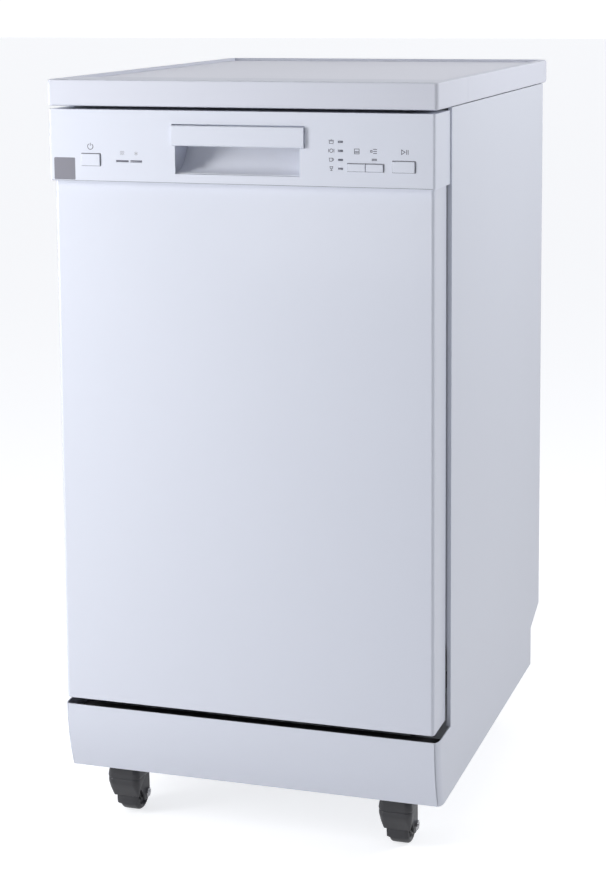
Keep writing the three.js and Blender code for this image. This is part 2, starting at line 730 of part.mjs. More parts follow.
function buildConsole() {
  const r = CONSOLE_RADIUS;
  const outer = rounded(-consoleHalf, consoleHalf, CONSOLE_FRONT, CONSOLE_REAR, [r, r, 0, 0]);
  const inside = consoleHalf - CONSOLE_WALL;
  const wallRear = CONSOLE_FRONT + CONSOLE_WALL;
  const shell = prism('z', outer, consoleBottom, consoleTop).subtract(block(
    -inside, inside, wallRear, far, consoleBottom + CONSOLE_WALL, consoleTop - CONSOLE_WALL,
  ));
  const floorBack = block(-inside, inside, DOOR_FRONT + 16, far, 0, consoleBottom + CONSOLE_WALL + 0.1);

  const rear = CONSOLE_FRONT + POCKET_DEPTH;
  const openTop = handleTop + 1.3;
  const cavityTop = openTop + 1.5;
  const left = HANDLE_LEFT - 0.5;
  const right = HANDLE_RIGHT + 0.5;
  const scoop = prism(
    'x',
    pocketProfile(wallRear - 0.2, pocketBottom - POCKET_WALL, rear + POCKET_WALL, cavityTop + POCKET_WALL),
    left - POCKET_WALL, right + POCKET_WALL, { curve: 4 },
  );
  const lower = prism(
    'x', pocketProfile(CONSOLE_FRONT - 1, pocketBottom, rear, handleBottom),
    POCKET_LEFT, POCKET_RIGHT, { curve: 4 },
  );
  const upper = block(left, right, wallRear, rear, handleBottom - 0.5, cavityTop);
  const mouth = block(left, right, CONSOLE_FRONT - 1, wallRear + 1, handleBottom - 0.5, openTop);
  const pivots = rod('x', PIVOT_Y, pivotZ, PIVOT_RADIUS + GAP, left - 9, right + 9, 12);
  let body = shell.subtract(floorBack).add(scoop).subtract(lower).subtract(upper)
    .subtract(mouth).subtract(pivots);

  for (const [, x0, x1, z0, z1] of buttons) {
    body = body.subtract(
      block(x0 - FIT, x1 + FIT, CONSOLE_FRONT - 1, wallRear + 1, z0 - FIT, z1 + FIT),
    );
  }
  for (const [x0, x1, z] of lights) {
    const reach = LIGHT_HEIGHT / 2 + GAP;
    body = body.subtract(
      block(x0 - GAP, x1 + GAP, CONSOLE_FRONT - 1, wallRear + 1, z - reach, z + reach),
    );
  }
  add('control_console', body, 'console');
}

function buildHandle() {
  const front = handleFront;
  const back = front + HANDLE_WALL;
  const grip = new THREE.Shape();
  grip.moveTo(front, handleBottom + 1.5);
  grip.lineTo(front + 1.2, handleBottom);
  grip.lineTo(front + 10.5, handleBottom);
  grip.lineTo(front + 12, handleBottom + 2);
  grip.lineTo(front + 10.5, handleBottom + 4.5);
  grip.lineTo(back + 1, handleBottom + 4.5);
  grip.lineTo(back, handleBottom + 6);
  grip.lineTo(back, handleTop);
  grip.lineTo(front + 1, handleTop);
  grip.lineTo(front, handleTop - 1);
  const lever = prism('x', grip, HANDLE_LEFT, HANDLE_RIGHT);
  const ends = [[HANDLE_LEFT, 1], [HANDLE_RIGHT, -1]].map(([x, inward]) => {
    const cheek = rod('x', PIVOT_Y, pivotZ, 3, x, x + 4 * inward, 12)
      .add(block(x, x + 4 * inward, back - 1, PIVOT_Y, pivotZ - 3, pivotZ + 3));
    const pin = rod('x', PIVOT_Y, pivotZ, PIVOT_RADIUS, x - 2.6 * inward, x + inward, 12);
    return cheek.add(pin);
  });
  add('handle_lever', union([lever, ...ends]), 'console');
}

function buildButtons() {
  for (const [name, x0, x1, z0, z1] of buttons) {
    const wallRear = CONSOLE_FRONT + CONSOLE_WALL;
    const cap = prism(
      'y', rounded(x0, x1, z0, z1, 0), CONSOLE_FRONT - BUTTON_PROUD, wallRear + 4,
    );
    const collar = block(x0, x1, wallRear + GAP, wallRear + 2, z0 - 1.6, z1 + 1.6);
    const plunger = rod('y', (x0 + x1) / 2, (z0 + z1) / 2, 2.4, wallRear + 3.5, wallRear + 6, 6);
    add(name, union([cap, collar, plunger]), 'console');
  }
}

function buildLightGuide() {
  const front = CONSOLE_FRONT + CONSOLE_WALL + GAP;
  const back = front + 2.2;
  const plate = (x0, x1, z0, z1) => block(x0, x1, front, back, z0, z1);
  const left = 78.3 - consoleHalf;
  const right = consoleHalf - 99.3;
  const low = consoleBottom + 3.2;
  const parts = [
    plate(left, left + 35, low + 17.3, low + 23.3),
    plate(left, left + 5, low, low + 23.3),
    plate(left, right, low, low + 4),
    plate(right - 10, right, low, low + 48.8),
    plate(right - 10, right + 37, low + 25.2, low + 29.6),
  ];
  for (const [x0, x1, z] of lights) {
    const reach = LIGHT_HEIGHT / 2;
    parts.push(block(x0, x1, CONSOLE_FRONT, front + 0.5, z - reach, z + reach));
  }
  add('light_guide', union(parts), 'lens');
}

function buildControlBoard() {
  const front = CONSOLE_FRONT + CONSOLE_WALL + 13;
  const low = consoleBottom + CONSOLE_WALL + GAP;
  const high = consoleTop - CONSOLE_WALL - GAP;
  const side = consoleHalf - 8.3;
  const shelf = consoleBottom + 40;
  const plate = (x0, x1, z0, z1, y0 = front, y1 = front + 1.6) => block(x0, x1, y0, y1, z0, z1);
  const parts = [
    plate(-side, HANDLE_LEFT - 9.5, low, high),
    plate(HANDLE_RIGHT + 9.5, side, low, high),
    plate(HANDLE_LEFT - 15.5, HANDLE_RIGHT + 12.5, low, low + 4.4),
    plate(side - 114, side - 86, shelf + 18, shelf + 32, front + 1, front + 14),
    plate(side - 64, side - 14, shelf - 4, shelf + 32, front + 1, front + 10),
    plate(8 - side, 44 - side, shelf, shelf + 30, front + 1, front + 18),
  ];
  for (const [, x0, x1, z0, z1] of buttons) {
    const x = (x0 + x1) / 2;
    const z = (z0 + z1) / 2;
    parts.push(plate(x - 3, x + 3, z - 3, z + 3, front - 4, front + 0.5));
  }
  add('control_board', union(parts), 'board');
}

function buildLiner() {
  const top = consoleTop - CONSOLE_WALL - 0.7;
  const bottom = hingeZ - 4;
  const face = LINER_FACE - LINER_SHEET;
  const shell = block(-linerHalf, linerHalf, LINER_FACE - LINER_RETURN, LINER_FACE, bottom, top)
    .subtract(block(
      LINER_SHEET - linerHalf, linerHalf - LINER_SHEET, -far, face,
      bottom + LINER_SHEET, top - LINER_SHEET,
    ));
  const recessHalf = linerHalf - RECESS_INSET;
  const recess = (grow, y0) => prism(
    'y', rounded(
      -recessHalf - grow, recessHalf + grow, hingeZ + RECESS_RISE - grow,
      consoleTop - RECESS_DROP + grow, 20 + grow,
    ), y0, LINER_FACE + grow,
  );
  const pan = recess(LINER_SHEET, LINER_FACE - LINER_RECESS - LINER_SHEET)
    .intersect(block(-far, far, -far, LINER_FACE, 0, far));
  const notch = (s) => block(s * (hingeArmX - 3), s * far, -far, far, 0, linerNotchTop);
  const body = shell.add(pan)
    .subtract(recess(0, LINER_FACE - LINER_RECESS))
    .subtract(notch(-1)).subtract(notch(1))
    .subtract(block(
      CUP_BODY.left - FIT, CUP_BODY.right + FIT, -far, far, CUP_BODY.bottom - FIT, CUP_BODY.top + FIT,
    ))
    .subtract(block(-STRIKE_HALF - 3, STRIKE_HALF + 3, -far, far, strikeZ - 4, far))
    .subtract(block(-LATCH_HALF - GAP, LATCH_HALF + GAP, -far, face - 0.01, strikeZ - 4, far));
  add('inner_door', body, 'steel');
}

function buildLatch() {
  const flange = TUB_FRONT - GAP;
  const under = strikeZ - STRIKE_THICKNESS / 2;
  const over = strikeZ + STRIKE_THICKNESS / 2;
  const plate = block(-16, 16, flange - 2, flange, strikeZ - 4, strikeZ + 5);
  const plan = rounded(-STRIKE_HALF, STRIKE_HALF, STRIKE_TIP, flange - 1, [3, 3, 0, 0]);
  const tongue = prism('z', plan, under, over)
    .subtract(block(-3.6, 3.6, CLAW_Y, CLAW_Y + 8, 0, far));
  add('latch_strike', tongue.add(plate), 'zinc');

  const tip = under - 0.5;
  const hook = polygon([
    [CLAW_Y - 4, clawZ - 4], [CLAW_Y + 4, clawZ - 4], [CLAW_Y + 4.5, clawZ + 8],
    [CLAW_Y + 7, tip - 3], [CLAW_Y + 3, tip], [CLAW_Y - 0.5, tip - 5], [CLAW_Y - 4, clawZ + 4],
  ]);
  const claw = prism('x', hook, -3, 3).subtract(rod('x', CLAW_Y, clawZ, 2 + GAP, -9, 9, 8));
  add('latch_claw', claw, 'zinc');

  const front = CONSOLE_FRONT + POCKET_DEPTH + POCKET_WALL + GAP;
  const back = LINER_FACE - LINER_SHEET - GAP;
  const roof = consoleTop - CONSOLE_WALL - GAP;
  const box = block(-LATCH_HALF, LATCH_HALF, front, back, clawZ - 14, roof);
  const hollow = block(2 - LATCH_HALF, LATCH_HALF - 2, front + 2, back - 1.6, clawZ - 12, roof - 1.6);
  const entry = block(
    -STRIKE_HALF - 2, STRIKE_HALF + 2, front + 1.9, far, strikeZ - 9, roof - 1.4,
  );
  const pin = rod('x', CLAW_Y, clawZ, 2, 1 - LATCH_HALF, LATCH_HALF - 1, 8);
  add('latch_housing', box.subtract(hollow).subtract(entry).add(pin), 'black');
}

// ---- hinges ----------------------------------------------------------------------------

function buildHinges() {
  const armTop = hingeZ + 110;
  const armRear = LINER_FACE - LINER_RETURN - GAP;
  const linkLow = hingeZ + 12;
  const bladeLow = doorBottom + 4;
  const bladeIn = hingeBracketX + HINGE_PLATE + GAP;
  const bladeOut = doorHalf - 0.3;
  for (const [side, s] of SIDES) {
    const x0 = s * hingeArmX;
    const x1 = s * (hingeArmX + HINGE_PLATE);
    const post = prism('x', polygon([
      [armRear - 12, hingeZ - 8], [armRear, hingeZ - 8], [armRear, armTop],
      [armRear - 7, armTop], [armRear - 12, armTop - 14],
    ]), x0, x1);
    const eye = rod('x', HINGE_Y, hingeZ, 8, x0, x1, 10);
    const link = block(x0, x1, armRear - 2, LINER_FACE - 1, linkLow, linerNotchTop - 2);
    const cover = prism('y', polygon([
      [s * hingeArmX, linkLow], [s * bladeIn, linkLow], [s * bladeIn, bladeLow],
      [s * bladeOut, bladeLow], [s * bladeOut, hingeZ + 44], [s * (linerHalf + 0.6), hingeZ + 34],
      [s * (linerHalf + 0.6), linerNotchTop - 1], [s * hingeArmX, linerNotchTop - 1],
    ]), DOOR_REAR + GAP, LINER_FACE - 0.2);
    const arm = union([post, eye, link, cover])
      .subtract(rod('x', HINGE_Y, hingeZ, HINGE_PIN + GAP, -far, far, 12));
    add(`hinge_arm_${side}`, arm, 'black');

    const bracketX = s * hingeBracketX;
    const bracketOut = s * (hingeBracketX + HINGE_PLATE);
    const tubSide = s * (tubHalf + TUB_SHEET + GAP);
    const plate = prism('x', polygon([
      [HINGE_Y - 5, hingeZ - 6], [130, hingeZ - 6], [130, 262], [110, 262],
      [TUB_FRONT + TUB_SHEET + 0.5, 225], [TUB_FRONT + TUB_SHEET + 0.5, hingeZ + 9],
      [HINGE_Y - 5, hingeZ + 9],
    ]), bracketX, bracketOut);
    const web = block(tubSide, bracketOut, 127, 130, hingeZ + 14, 262);
    const pad = block(tubSide, s * (tubHalf + TUB_SHEET + GAP + 2), 92, 130, hingeZ + 14, 262);
    const pin = rod('x', HINGE_Y, hingeZ, HINGE_PIN, s * (hingeArmX - 1.2), bracketOut, 12);
    const headInner = s * (hingeArmX - 2.4);
    const headOuter = s * (hingeArmX - 0.5);
    const head = rod('x', HINGE_Y, hingeZ, HINGE_PIN + 1.6, headInner, headOuter, 12);
    add(`hinge_bracket_${side}`, union([plate, web, pad, pin, head]), 'zinc');
  }
}

// ---- tub -------------------------------------------------------------------------------

function arch(half, bottom, top, radius) {
  return rounded(-half, half, bottom, top, [0, 0, radius, radius]);
}

function buildTub() {
  const wallBottom = tubFloor - 2;
  const inner = (grow) => arch(tubHalf + grow, wallBottom, tubTop + grow, TUB_RADIUS + grow);
  const cavity = arch(tubHalf, 0, tubTop, TUB_RADIUS);
  const flangeRear = TUB_FRONT + TUB_SHEET;
  const flange = prism(
    'y', arch(flangeHalf, flangeBottom, flangeTop, 6), TUB_FRONT, flangeRear,
  );
  const wrapper = prism('y', inner(TUB_SHEET), TUB_FRONT, tubRear)
    .add(flange)
    .subtract(prism('y', cavity, -far, far));
  add('tub_wrapper', wrapper, 'steel');

  const rearY = tubRear + GAP;
  add('tub_rear_wall', prism('y', inner(TUB_SHEET), rearY, rearY + TUB_SHEET), 'steel');

  add('door_gasket', prism(
    'y', arch(tubHalf + 0.5 + GASKET_WIDTH, flangeBottom, tubTop + 0.5 + GASKET_WIDTH, TUB_RADIUS + 8),
    LINER_FACE + GAP, TUB_FRONT - GAP,
  ).subtract(prism('y', arch(tubHalf + 0.5, 0, tubTop + 0.5, TUB_RADIUS), -far, far)), 'rubber');
  buildTubFloor();
}

// The floor falls from a level border to the round hole over the sump.
function buildTubFloor() {
  const count = 20;
  const halfX = tubHalf - GAP;
  const front = TUB_FRONT + TUB_SHEET + GAP;
  const rear = tubRear - GAP;
  const thickness = 2;
  const fall = 8;
  const edge = (inset, z) => Array.from({ length: count }, (_, i) => {
    const angle = (2 * Math.PI * (i + 0.5)) / count;
    const dx = Math.cos(angle);
    const dy = Math.sin(angle);
    const reachX = (halfX - inset) / Math.abs(dx);
    const reachY = (dy > 0 ? rear - inset - SUMP_Y : SUMP_Y - front - inset) / Math.abs(dy);
    const reach = Math.min(reachX, reachY);
    return [dx * reach, SUMP_Y + dy * reach, z];
  });
  const circle = (radius, z) => Array.from({ length: count }, (_, i) => {
    const angle = (2 * Math.PI * (i + 0.5)) / count;
    return [radius * Math.cos(angle), SUMP_Y + radius * Math.sin(angle), z];
  });
  const border = 46;
  const floor = ringLoft([
    edge(0, tubFloor), edge(border, tubFloor),
    circle(SUMP_HOLE, tubFloor - fall), circle(SUMP_HOLE, tubFloor - fall - thickness),
    edge(border, tubFloor - thickness), edge(0, tubFloor - thickness),
  ]);
  const corners = [-1, 1].flatMap((s) => [front, rear - 40].map((y) => (
    block(s * (halfX - 40), s * halfX, y, y + 40, tubFloor - thickness, tubFloor)
  )));
  const lip = block(-halfX, halfX, TUB_FRONT, front + 1.2, tubFloor - 4, flangeBottom - 1);
  add('tub_floor', union([floor, ...corners, lip]), 'steel');
}

function buildRails() {
  for (const [side, s] of SIDES) {
    const wall = s * (tubHalf - GAP);
    const mouth = s * (tubHalf - 10.5);
    const front = TUB_FRONT + 8;
    const rear = upperRack.rear + 2;
    const low = railZ - RAIL_HEIGHT / 2;
    const high = railZ + RAIL_HEIGHT / 2;
    const channel = block(mouth, wall, front, rear, low, high)
      .subtract(block(mouth - s * 5, wall - s * 1.5, front - 4, rear - 2, low + 1.5, high - 1.5))
      .add(block(mouth, mouth + s * 1.5, front, rear, low, low + RAIL_LIP))
      .add(block(mouth, mouth + s * 1.5, front, rear, high - RAIL_LIP, high));
    add(`rack_rail_${side}`, channel, 'steel');
  }
}

// ---- water parts under and inside the tub ----------------------------------------------

function buildWater() {
  const cupTop = tubFloor - 8 - 2 - GAP;
  const cup = turned([
    [0, sumpBottom], [sumpRadius - 6, sumpBottom], [sumpRadius, sumpBottom + 6],
    [sumpRadius, cupTop - 5], [SUMP_HOLE + 8, cupTop - 5], [SUMP_HOLE + 8, cupTop],
    [sumpRadius - SUMP_WALL, cupTop], [sumpRadius - SUMP_WALL, sumpBottom + 7],
    [sumpRadius - 8, sumpBottom + SUMP_WALL], [0, sumpBottom + SUMP_WALL],
  ], 'z', 0, SUMP_Y, 0, 20);
  const feed = rod('z', 0, SUMP_Y, HUB_RADIUS, sumpBottom + 1, lowerArmZ, 12);
  add('sump', cup.add(feed), 'plastic');

  const plateLow = cupTop + GAP;
  const plate = rod('z', 0, SUMP_Y, SUMP_HOLE - 3, plateLow, plateLow + 2, 24)
    .subtract(rod('z', 0, SUMP_Y, HUB_RADIUS + FIT, 0, far, 12))
    .subtract(rod('z', 0, filterY, filterRadius + TURN_FIT, 0, far, 16));
  add('coarse_filter', plate, 'steel');

  const rimLow = plateLow + 2 + GAP;
  const wall = 1.6;
  const low = sumpBottom + FILTER_RISE;
  const filter = turned([
    [0, low], [filterRadius - 3, low], [filterRadius, low + 4], [filterRadius, rimLow],
    [filterRadius + 5, rimLow], [filterRadius + 5, rimLow + 2], [filterRadius - wall, rimLow + 2],
    [filterRadius - wall, low + 3.6], [0, low + 3.6],
  ], 'z', 0, filterY, 0, 16);
  const gripHalf = filterRadius - 1;
  const grip = block(-gripHalf, gripHalf, filterY - 2, filterY + 2, rimLow - 6, rimLow + 14);
  add('filter_cup', filter.add(grip), 'plastic');

  const pumpZ = sumpBottom + 35;
  const volute = rod('x', SUMP_Y, pumpZ, 36, -sumpRadius - GAP, -sumpRadius - 28, 16);
  const motor = rod('x', SUMP_Y, pumpZ, 29, -sumpRadius - 27, -sumpRadius - 96, 16);
  add('wash_pump', volute.add(motor), 'black');

  const touch = SUMP_Y + Math.sqrt(sumpRadius ** 2 - DRAIN_X ** 2);
  const spigot = rod('y', DRAIN_X, fittingZ, DRAIN_RADIUS, touch + 40, trayRear + FITTING_REACH, 12);
  const barb = rod('y', DRAIN_X, fittingZ, DRAIN_RADIUS - 2, touch + 30, trayRear + FITTING_REACH + 8, 12);
  const drain = rod('y', DRAIN_X, sumpBottom + 12, 21, touch + 22, touch + 84, 12);
  const neck = block(DRAIN_X - 8, DRAIN_X + 14, touch - 8, touch + 26, sumpBottom + 8, sumpBottom + 24)
    .subtract(rod('z', 0, SUMP_Y, sumpRadius + GAP, 0, far, 20));
  add('drain_pump', union([spigot, barb, drain, neck]), 'black');

  const inletFront = trayRear - TRAY_WALL - GAP;
  const port = rod('y', INLET_X, fittingZ, INLET_RADIUS, inletFront - 20, trayRear + FITTING_REACH, 12)
    .subtract(rod('y', INLET_X, fittingZ, INLET_RADIUS - 3, trayRear, far, 12));
  const flange = block(
    INLET_X - 19, INLET_X + 19, inletFront - 3, inletFront, fittingZ - 15.5, fittingZ + 15.5,
  );
  const coil = block(
    INLET_X - 12, INLET_X + 12, inletFront - 44, inletFront - 18, fittingZ - 12, fittingZ + 24,
  );
  add('inlet_valve', union([port, flange, coil]), 'plastic');

  const collar = rod('y', GLAND_X, fittingZ, GLAND_RADIUS + 5, trayRear + GAP, trayRear + 5, 12);
  const bush = rod('y', GLAND_X, fittingZ, GLAND_RADIUS, trayRear - 10, trayRear + 12, 12);
  const lead = rod('y', GLAND_X, fittingZ, 4, -far, far, 8);
  add('mains_gland', collar.add(bush).subtract(lead), 'black');

  const riserY = tubRear - 8.5;
  const dockZ = upperRack.floor - 14;
  const riser = bar(eased([
    [0, SUMP_Y + SUMP_HOLE + 14, tubFloor + 9], [0, riserY, tubFloor + 9], [0, riserY, dockZ],
    [0, upperRack.rear + 12, dockZ],
  ], 12), 15, 8);
  const dock = rod('y', 0, dockZ, 12, upperRack.rear + 5, upperRack.rear + 14, 12);
  const footFront = SUMP_Y + SUMP_HOLE + 8;
  const foot = block(-16, 16, footFront, footFront + 26, tubFloor + 1.5, tubFloor + 14);
  const clips = [tubFloor + 112, dockZ - 64].map((z) => block(-12, 12, riserY + 4, tubRear, z, z + 12));
  add('riser_pipe', union([riser, dock, foot, ...clips]), 'plastic');
}

// A blade with rounded ends that narrows outwards and a hub that turns on a fixed pipe.
function sprayArm(y, z, half, hubAbove) {
  const root = 21;
  const tip = 13;
  const plan = new THREE.Shape();
  plan.moveTo(-half + tip, -tip);
  plan.quadraticCurveTo(-half * 0.4, -root + 2, 0, -root);
  plan.quadraticCurveTo(half * 0.4, -root + 2, half - tip, -tip);
  plan.absarc(half - tip, 0, tip, -Math.PI / 2, Math.PI / 2, false);
  plan.quadraticCurveTo(half * 0.4, root - 2, 0, root);
  plan.quadraticCurveTo(-half * 0.4, root - 2, -half + tip, tip);
  plan.absarc(-half + tip, 0, tip, Math.PI / 2, 1.5 * Math.PI, false);
  const bend = (position) => {
    for (let i = 0; i < position.count; i += 1) position.setY(i, position.getY(i) + y);
  };
  const blade = prism('z', plan, z, z + 11, { curve: 2, bend });
  const low = hubAbove ? z + 5 : z - 7;
  const high = hubAbove ? z + 18 : z + 6;
  const hub = rod('z', 0, y, HUB_RADIUS + 7, low, high, 16);
  const boreLow = hubAbove ? z + 8 : low - 1;
  const boreHigh = hubAbove ? high + 1 : z + 6;
  return blade.add(hub).subtract(rod('z', 0, y, HUB_RADIUS + GAP, boreLow, boreHigh, 12));
}

function buildSprayArms() {
  const lowerZ = lowerArmZ - 6 + GAP;
  add('lower_spray_arm', sprayArm(SUMP_Y, lowerZ, tubHalf - LOWER_ARM_INSET, false), 'plastic');
  add('upper_spray_arm', sprayArm(SUMP_Y, upperArmZ, tubHalf - UPPER_ARM_INSET, true), 'plastic');
  const pipeZ = upperRack.floor - 14;
  const pipe = bar([[0, SUMP_Y - 8, pipeZ], [0, upperRack.rear + 5 - GAP, pipeZ]], 15, 8);
  const down = rod('z', 0, SUMP_Y, HUB_RADIUS, upperArmZ + 8 + GAP, pipeZ, 12);
  const rest = [SUMP_Y + 10, upperRack.rear - 60].map((y) => (
    block(-9, 9, y, y + 8, pipeZ, upperRack.floor - WIRE / 2 - GAP)
  ));
  add('upper_feed_pipe', union([pipe, down, ...rest]), 'plastic');
}

// ---- racks -----------------------------------------------------------------------------

// Even places from one end to the other, both included.
function spread(from, to, count) {
  return Array.from({ length: count }, (_, i) => from + ((to - from) * i) / (count - 1));
}

function loop(half, front, rear, z, thickness, sides) {
  const r = 16;
  const path = [[0, front, z]];
  const corners = [[half, front, 1], [half, rear, 0], [-half, rear, 1], [-half, front, 0]];
  for (const [x, y, alongX] of corners) {
    const inX = [x - Math.sign(x) * r, y, z];
    const inY = [x, y + (y === front ? r : -r), z];
    path.push(...(alongX ? [inX, inY] : [inY, inX]));
  }
  path.push([0, front, z]);
  return bar(path, thickness, sides);
}

// Wires bent up at both ends, laid across each other and tied by a rim round the top.
function rack(size, across, along) {
  const { half, front, rear, floor, top, tines } = size;
  const lap = WIRE - WIRE_LAP;
  const parts = [];
  const inset = 34;
  for (const y of spread(front + inset, rear - inset, across)) {
    parts.push(bar([[-half, y, top], [-half, y, floor], [half, y, floor], [half, y, top]], WIRE, 4));
  }
  for (const x of spread(-half + inset, half - inset, along)) {
    const z = floor + lap;
    parts.push(bar([[x, front, top], [x, front, z], [x, rear, z], [x, rear, top]], WIRE, 4));
  }
  parts.push(loop(half + lap, front - lap, rear + lap, top, RIM_WIRE, 4));
  for (const y of size.tineRows) {
    const z = floor + 2 * lap;
    parts.push(bar([[size.tineLeft - 8, y, z], [size.tineRight + 8, y, z]], WIRE, 4));
    for (const x of spread(size.tineLeft, size.tineRight, size.tineCount)) {
      parts.push(bar([[x, y, floor + lap], [x, y + 10, floor + tines]], WIRE - 0.6, 4));
    }
  }
  return parts;
}

function buildLowerRack() {
  const size = {
    ...lowerRack,
    tineRows: [lowerRack.front + 118, lowerRack.front + 248],
    tineLeft: 40 - lowerRack.half,
    tineRight: lowerRack.half - BASKET.side - BASKET.width - 56,
    tineCount: 5,
  };
  const parts = rack(size, 6, 5);
  const outer = lowerRack.half + WIRE * 1.5;
  const axleZ = tubFloor + GAP + RACK_WHEEL_RADIUS;
  const sideZ = lowerRack.floor + 14;
  const wheelRows = [
    ['front', lowerRack.front + RACK_WHEEL_FRONT], ['rear', lowerRack.rear - RACK_WHEEL_REAR],
  ];
  for (const [side, s] of SIDES) {
    const railX = s * (lowerRack.half + WIRE - WIRE_LAP);
    parts.push(bar([[railX, lowerRack.front + 20, sideZ], [railX, lowerRack.rear - 20, sideZ]], WIRE, 4));
    for (const [end, y] of wheelRows) {
      const inner = s * (outer - 3.2);
      const leg = prism('x', polygon([
        [y - 5, axleZ - 5], [y + 5, axleZ - 5], [y + 16, lowerRack.floor + 20],
        [y - 16, lowerRack.floor + 20],
      ]), inner, inner + s * 4);
      const wheelIn = inner + s * (4 + GAP);
      const wheelOut = wheelIn + s * RACK_WHEEL_WIDTH;
      const pin = rod('x', y, axleZ, 3, inner, wheelOut + s * (GAP + 1.5), 8);
      const cap = rod('x', y, axleZ, 5, wheelOut + s * GAP, wheelOut + s * (GAP + 1.8), 8);
      parts.push(leg, pin, cap);
      const rim = RACK_WHEEL_RADIUS;
      const w = RACK_WHEEL_WIDTH / 2;
      const wheel = turned([
        [3.3, -w], [rim, -w], [rim, w], [3.3, w], [3.3, -w],
      ], 'x', wheelIn + (s * RACK_WHEEL_WIDTH) / 2, y, axleZ, 12);
      add(`rack_wheel_${end}_${side}`, wheel, 'plastic');
    }
  }
  add('lower_rack', union(parts), 'wire');
}

function buildUpperRack() {
  const size = {
    ...upperRack,
    tineRows: [upperRack.front + 103, upperRack.front + 303],
    tineLeft: 54 - upperRack.half,
    tineRight: upperRack.half - 54,
    tineCount: 5,
  };
  const parts = rack(size, 5, 4);
  for (const s of [-1, 1]) {
    const inner = s * (upperRack.half + WIRE / 2 - WIRE_LAP);
    const low = railZ - RAIL_HEIGHT / 2 + RAIL_LIP + GAP;
    const high = railZ + RAIL_HEIGHT / 2 - RAIL_LIP - GAP;
    parts.push(block(
      inner, s * (tubHalf - 3.5), upperRack.front + 7, upperRack.rear - 10, low, high,
    )
      .subtract(block(s * (tubHalf - 12), s * (tubHalf - 7), 0, far, low + 4, high - 4)));
  }
  add('upper_rack', union(parts), 'wire');
}

function buildBasket() {
  const { side, width, depth, height, wall, handle } = BASKET;
  const right = lowerRack.half - side;
  const left = right - width;
  const front = lowerRack.front + BASKET.front;
  const rear = front + depth;
  const low = lowerRack.floor + WIRE - WIRE_LAP + WIRE / 2 + GAP;
  const high = low + height;
  let basket = prism('z', rounded(left, right, front, rear, 8), low, high);
  const cells = 3;
  const pitch = (rear - front - wall) / cells;
  for (let i = 0; i < cells; i += 1) {
    const y0 = front + wall + i * pitch;
    basket = basket.subtract(
      prism('z', rounded(left + wall, right - wall, y0, y0 + pitch - wall, 5), low + wall, high + 1),
    );
    basket = basket.subtract(
      block(left + 14, right - 14, y0 + 9, y0 + pitch - wall - 9, low - 1, low + wall + 1),
    );
    for (const z of [low + 20, low + 60]) {
      basket = basket.subtract(
        block(left - 1, right + 1, y0 + 12, y0 + pitch - wall - 12, z, z + 26),
      );
    }
  }
  const x = (left + right) / 2;
  const grip = bar(eased([
    [x, front + pitch * 0.98, high - 4], [x, front + pitch * 0.98, high + handle],
    [x, front + pitch * 2.02, high + handle], [x, front + pitch * 2.02, high - 4],
  ], 12), 6, 6);
  add('cutlery_basket', basket.add(grip), 'plastic');
}

// ---- dispenser -------------------------------------------------------------------------

function buildDispenser() {
  const { left, right, bottom, top, depth } = CUP_BODY;
  const front = LINER_FACE + CUP_BODY.proud;
  const lidFront = front + GAP;
  const lid = {
    left: CUP.left - LID_MARGIN,
    right: CUP.right + LID_MARGIN,
    bottom: CUP.bottom - LID_MARGIN,
    top: CUP.top + LID_MARGIN,
  };
  const guide = (x0, x1) => block(x0, x1, front - 1, lidFront + LID_THICKNESS, bottom + 6, top - 2);
  const body = prism('y', rounded(left, right, bottom, top, 6), front - depth, front)
    .subtract(prism('y', rounded(CUP.left, CUP.right, CUP.bottom, CUP.top, 8), front - CUP.depth, far))
    .subtract(rod('y', CAP_X, CAP_Z, 8 + GAP, front - 14, far))
    .add(guide(lid.left - GAP - 3, lid.left - GAP))
    .add(guide(lid.right + GAP, lid.right + GAP + 3));
  add('dispenser_body', body, 'plastic');

  const plate = block(lid.left, lid.right, lidFront, lidFront + LID_THICKNESS, lid.bottom, lid.top)
    .subtract(block(lid.left + 12, lid.right - 12, lidFront + 1.4, far, lid.top - 18, lid.top - 8));
  add('dispenser_lid', plate, 'plastic');

  const dial = rod('y', CAP_X, CAP_Z, CAP_RADIUS, lidFront, lidFront + 3, 20);
  const ridge = block(CAP_X - 12, CAP_X + 12, lidFront + 2, lidFront + 5.5, CAP_Z - 2.5, CAP_Z + 2.5);
  const stem = rod('y', CAP_X, CAP_Z, 8, front - 12, lidFront + 1);
  add('rinse_aid_cap', union([dial, ridge, stem]), 'plastic');
}

// ---- assembly --------------------------------------------------------------------------

buildWorktop();
buildCabinet();
buildTray();
for (const [row, y] of [['front', CASTER_FRONT_Y], ['rear', casterRearY]]) {
  for (const [side, s] of SIDES) buildCaster(`${row}_${side}`, s * casterX, y);
}
buildDoorPanel();
buildConsole();
buildHandle();
buildButtons();
buildLightGuide();
buildControlBoard();
buildLiner();
buildLatch();
buildHinges();
buildTub();
buildRails();
buildWater();
buildSprayArms();
buildLowerRack();
buildUpperRack();
buildBasket();
buildDispenser();

dishwasher.position.y = -(handleFront + WORKTOP_DEPTH) / 2;

export default dishwasher;
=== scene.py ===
import functools
import json
import math

import bmesh
import bpy
from bpy.props import FloatProperty, FloatVectorProperty, IntProperty, PointerProperty
from mathutils import Matrix, Vector

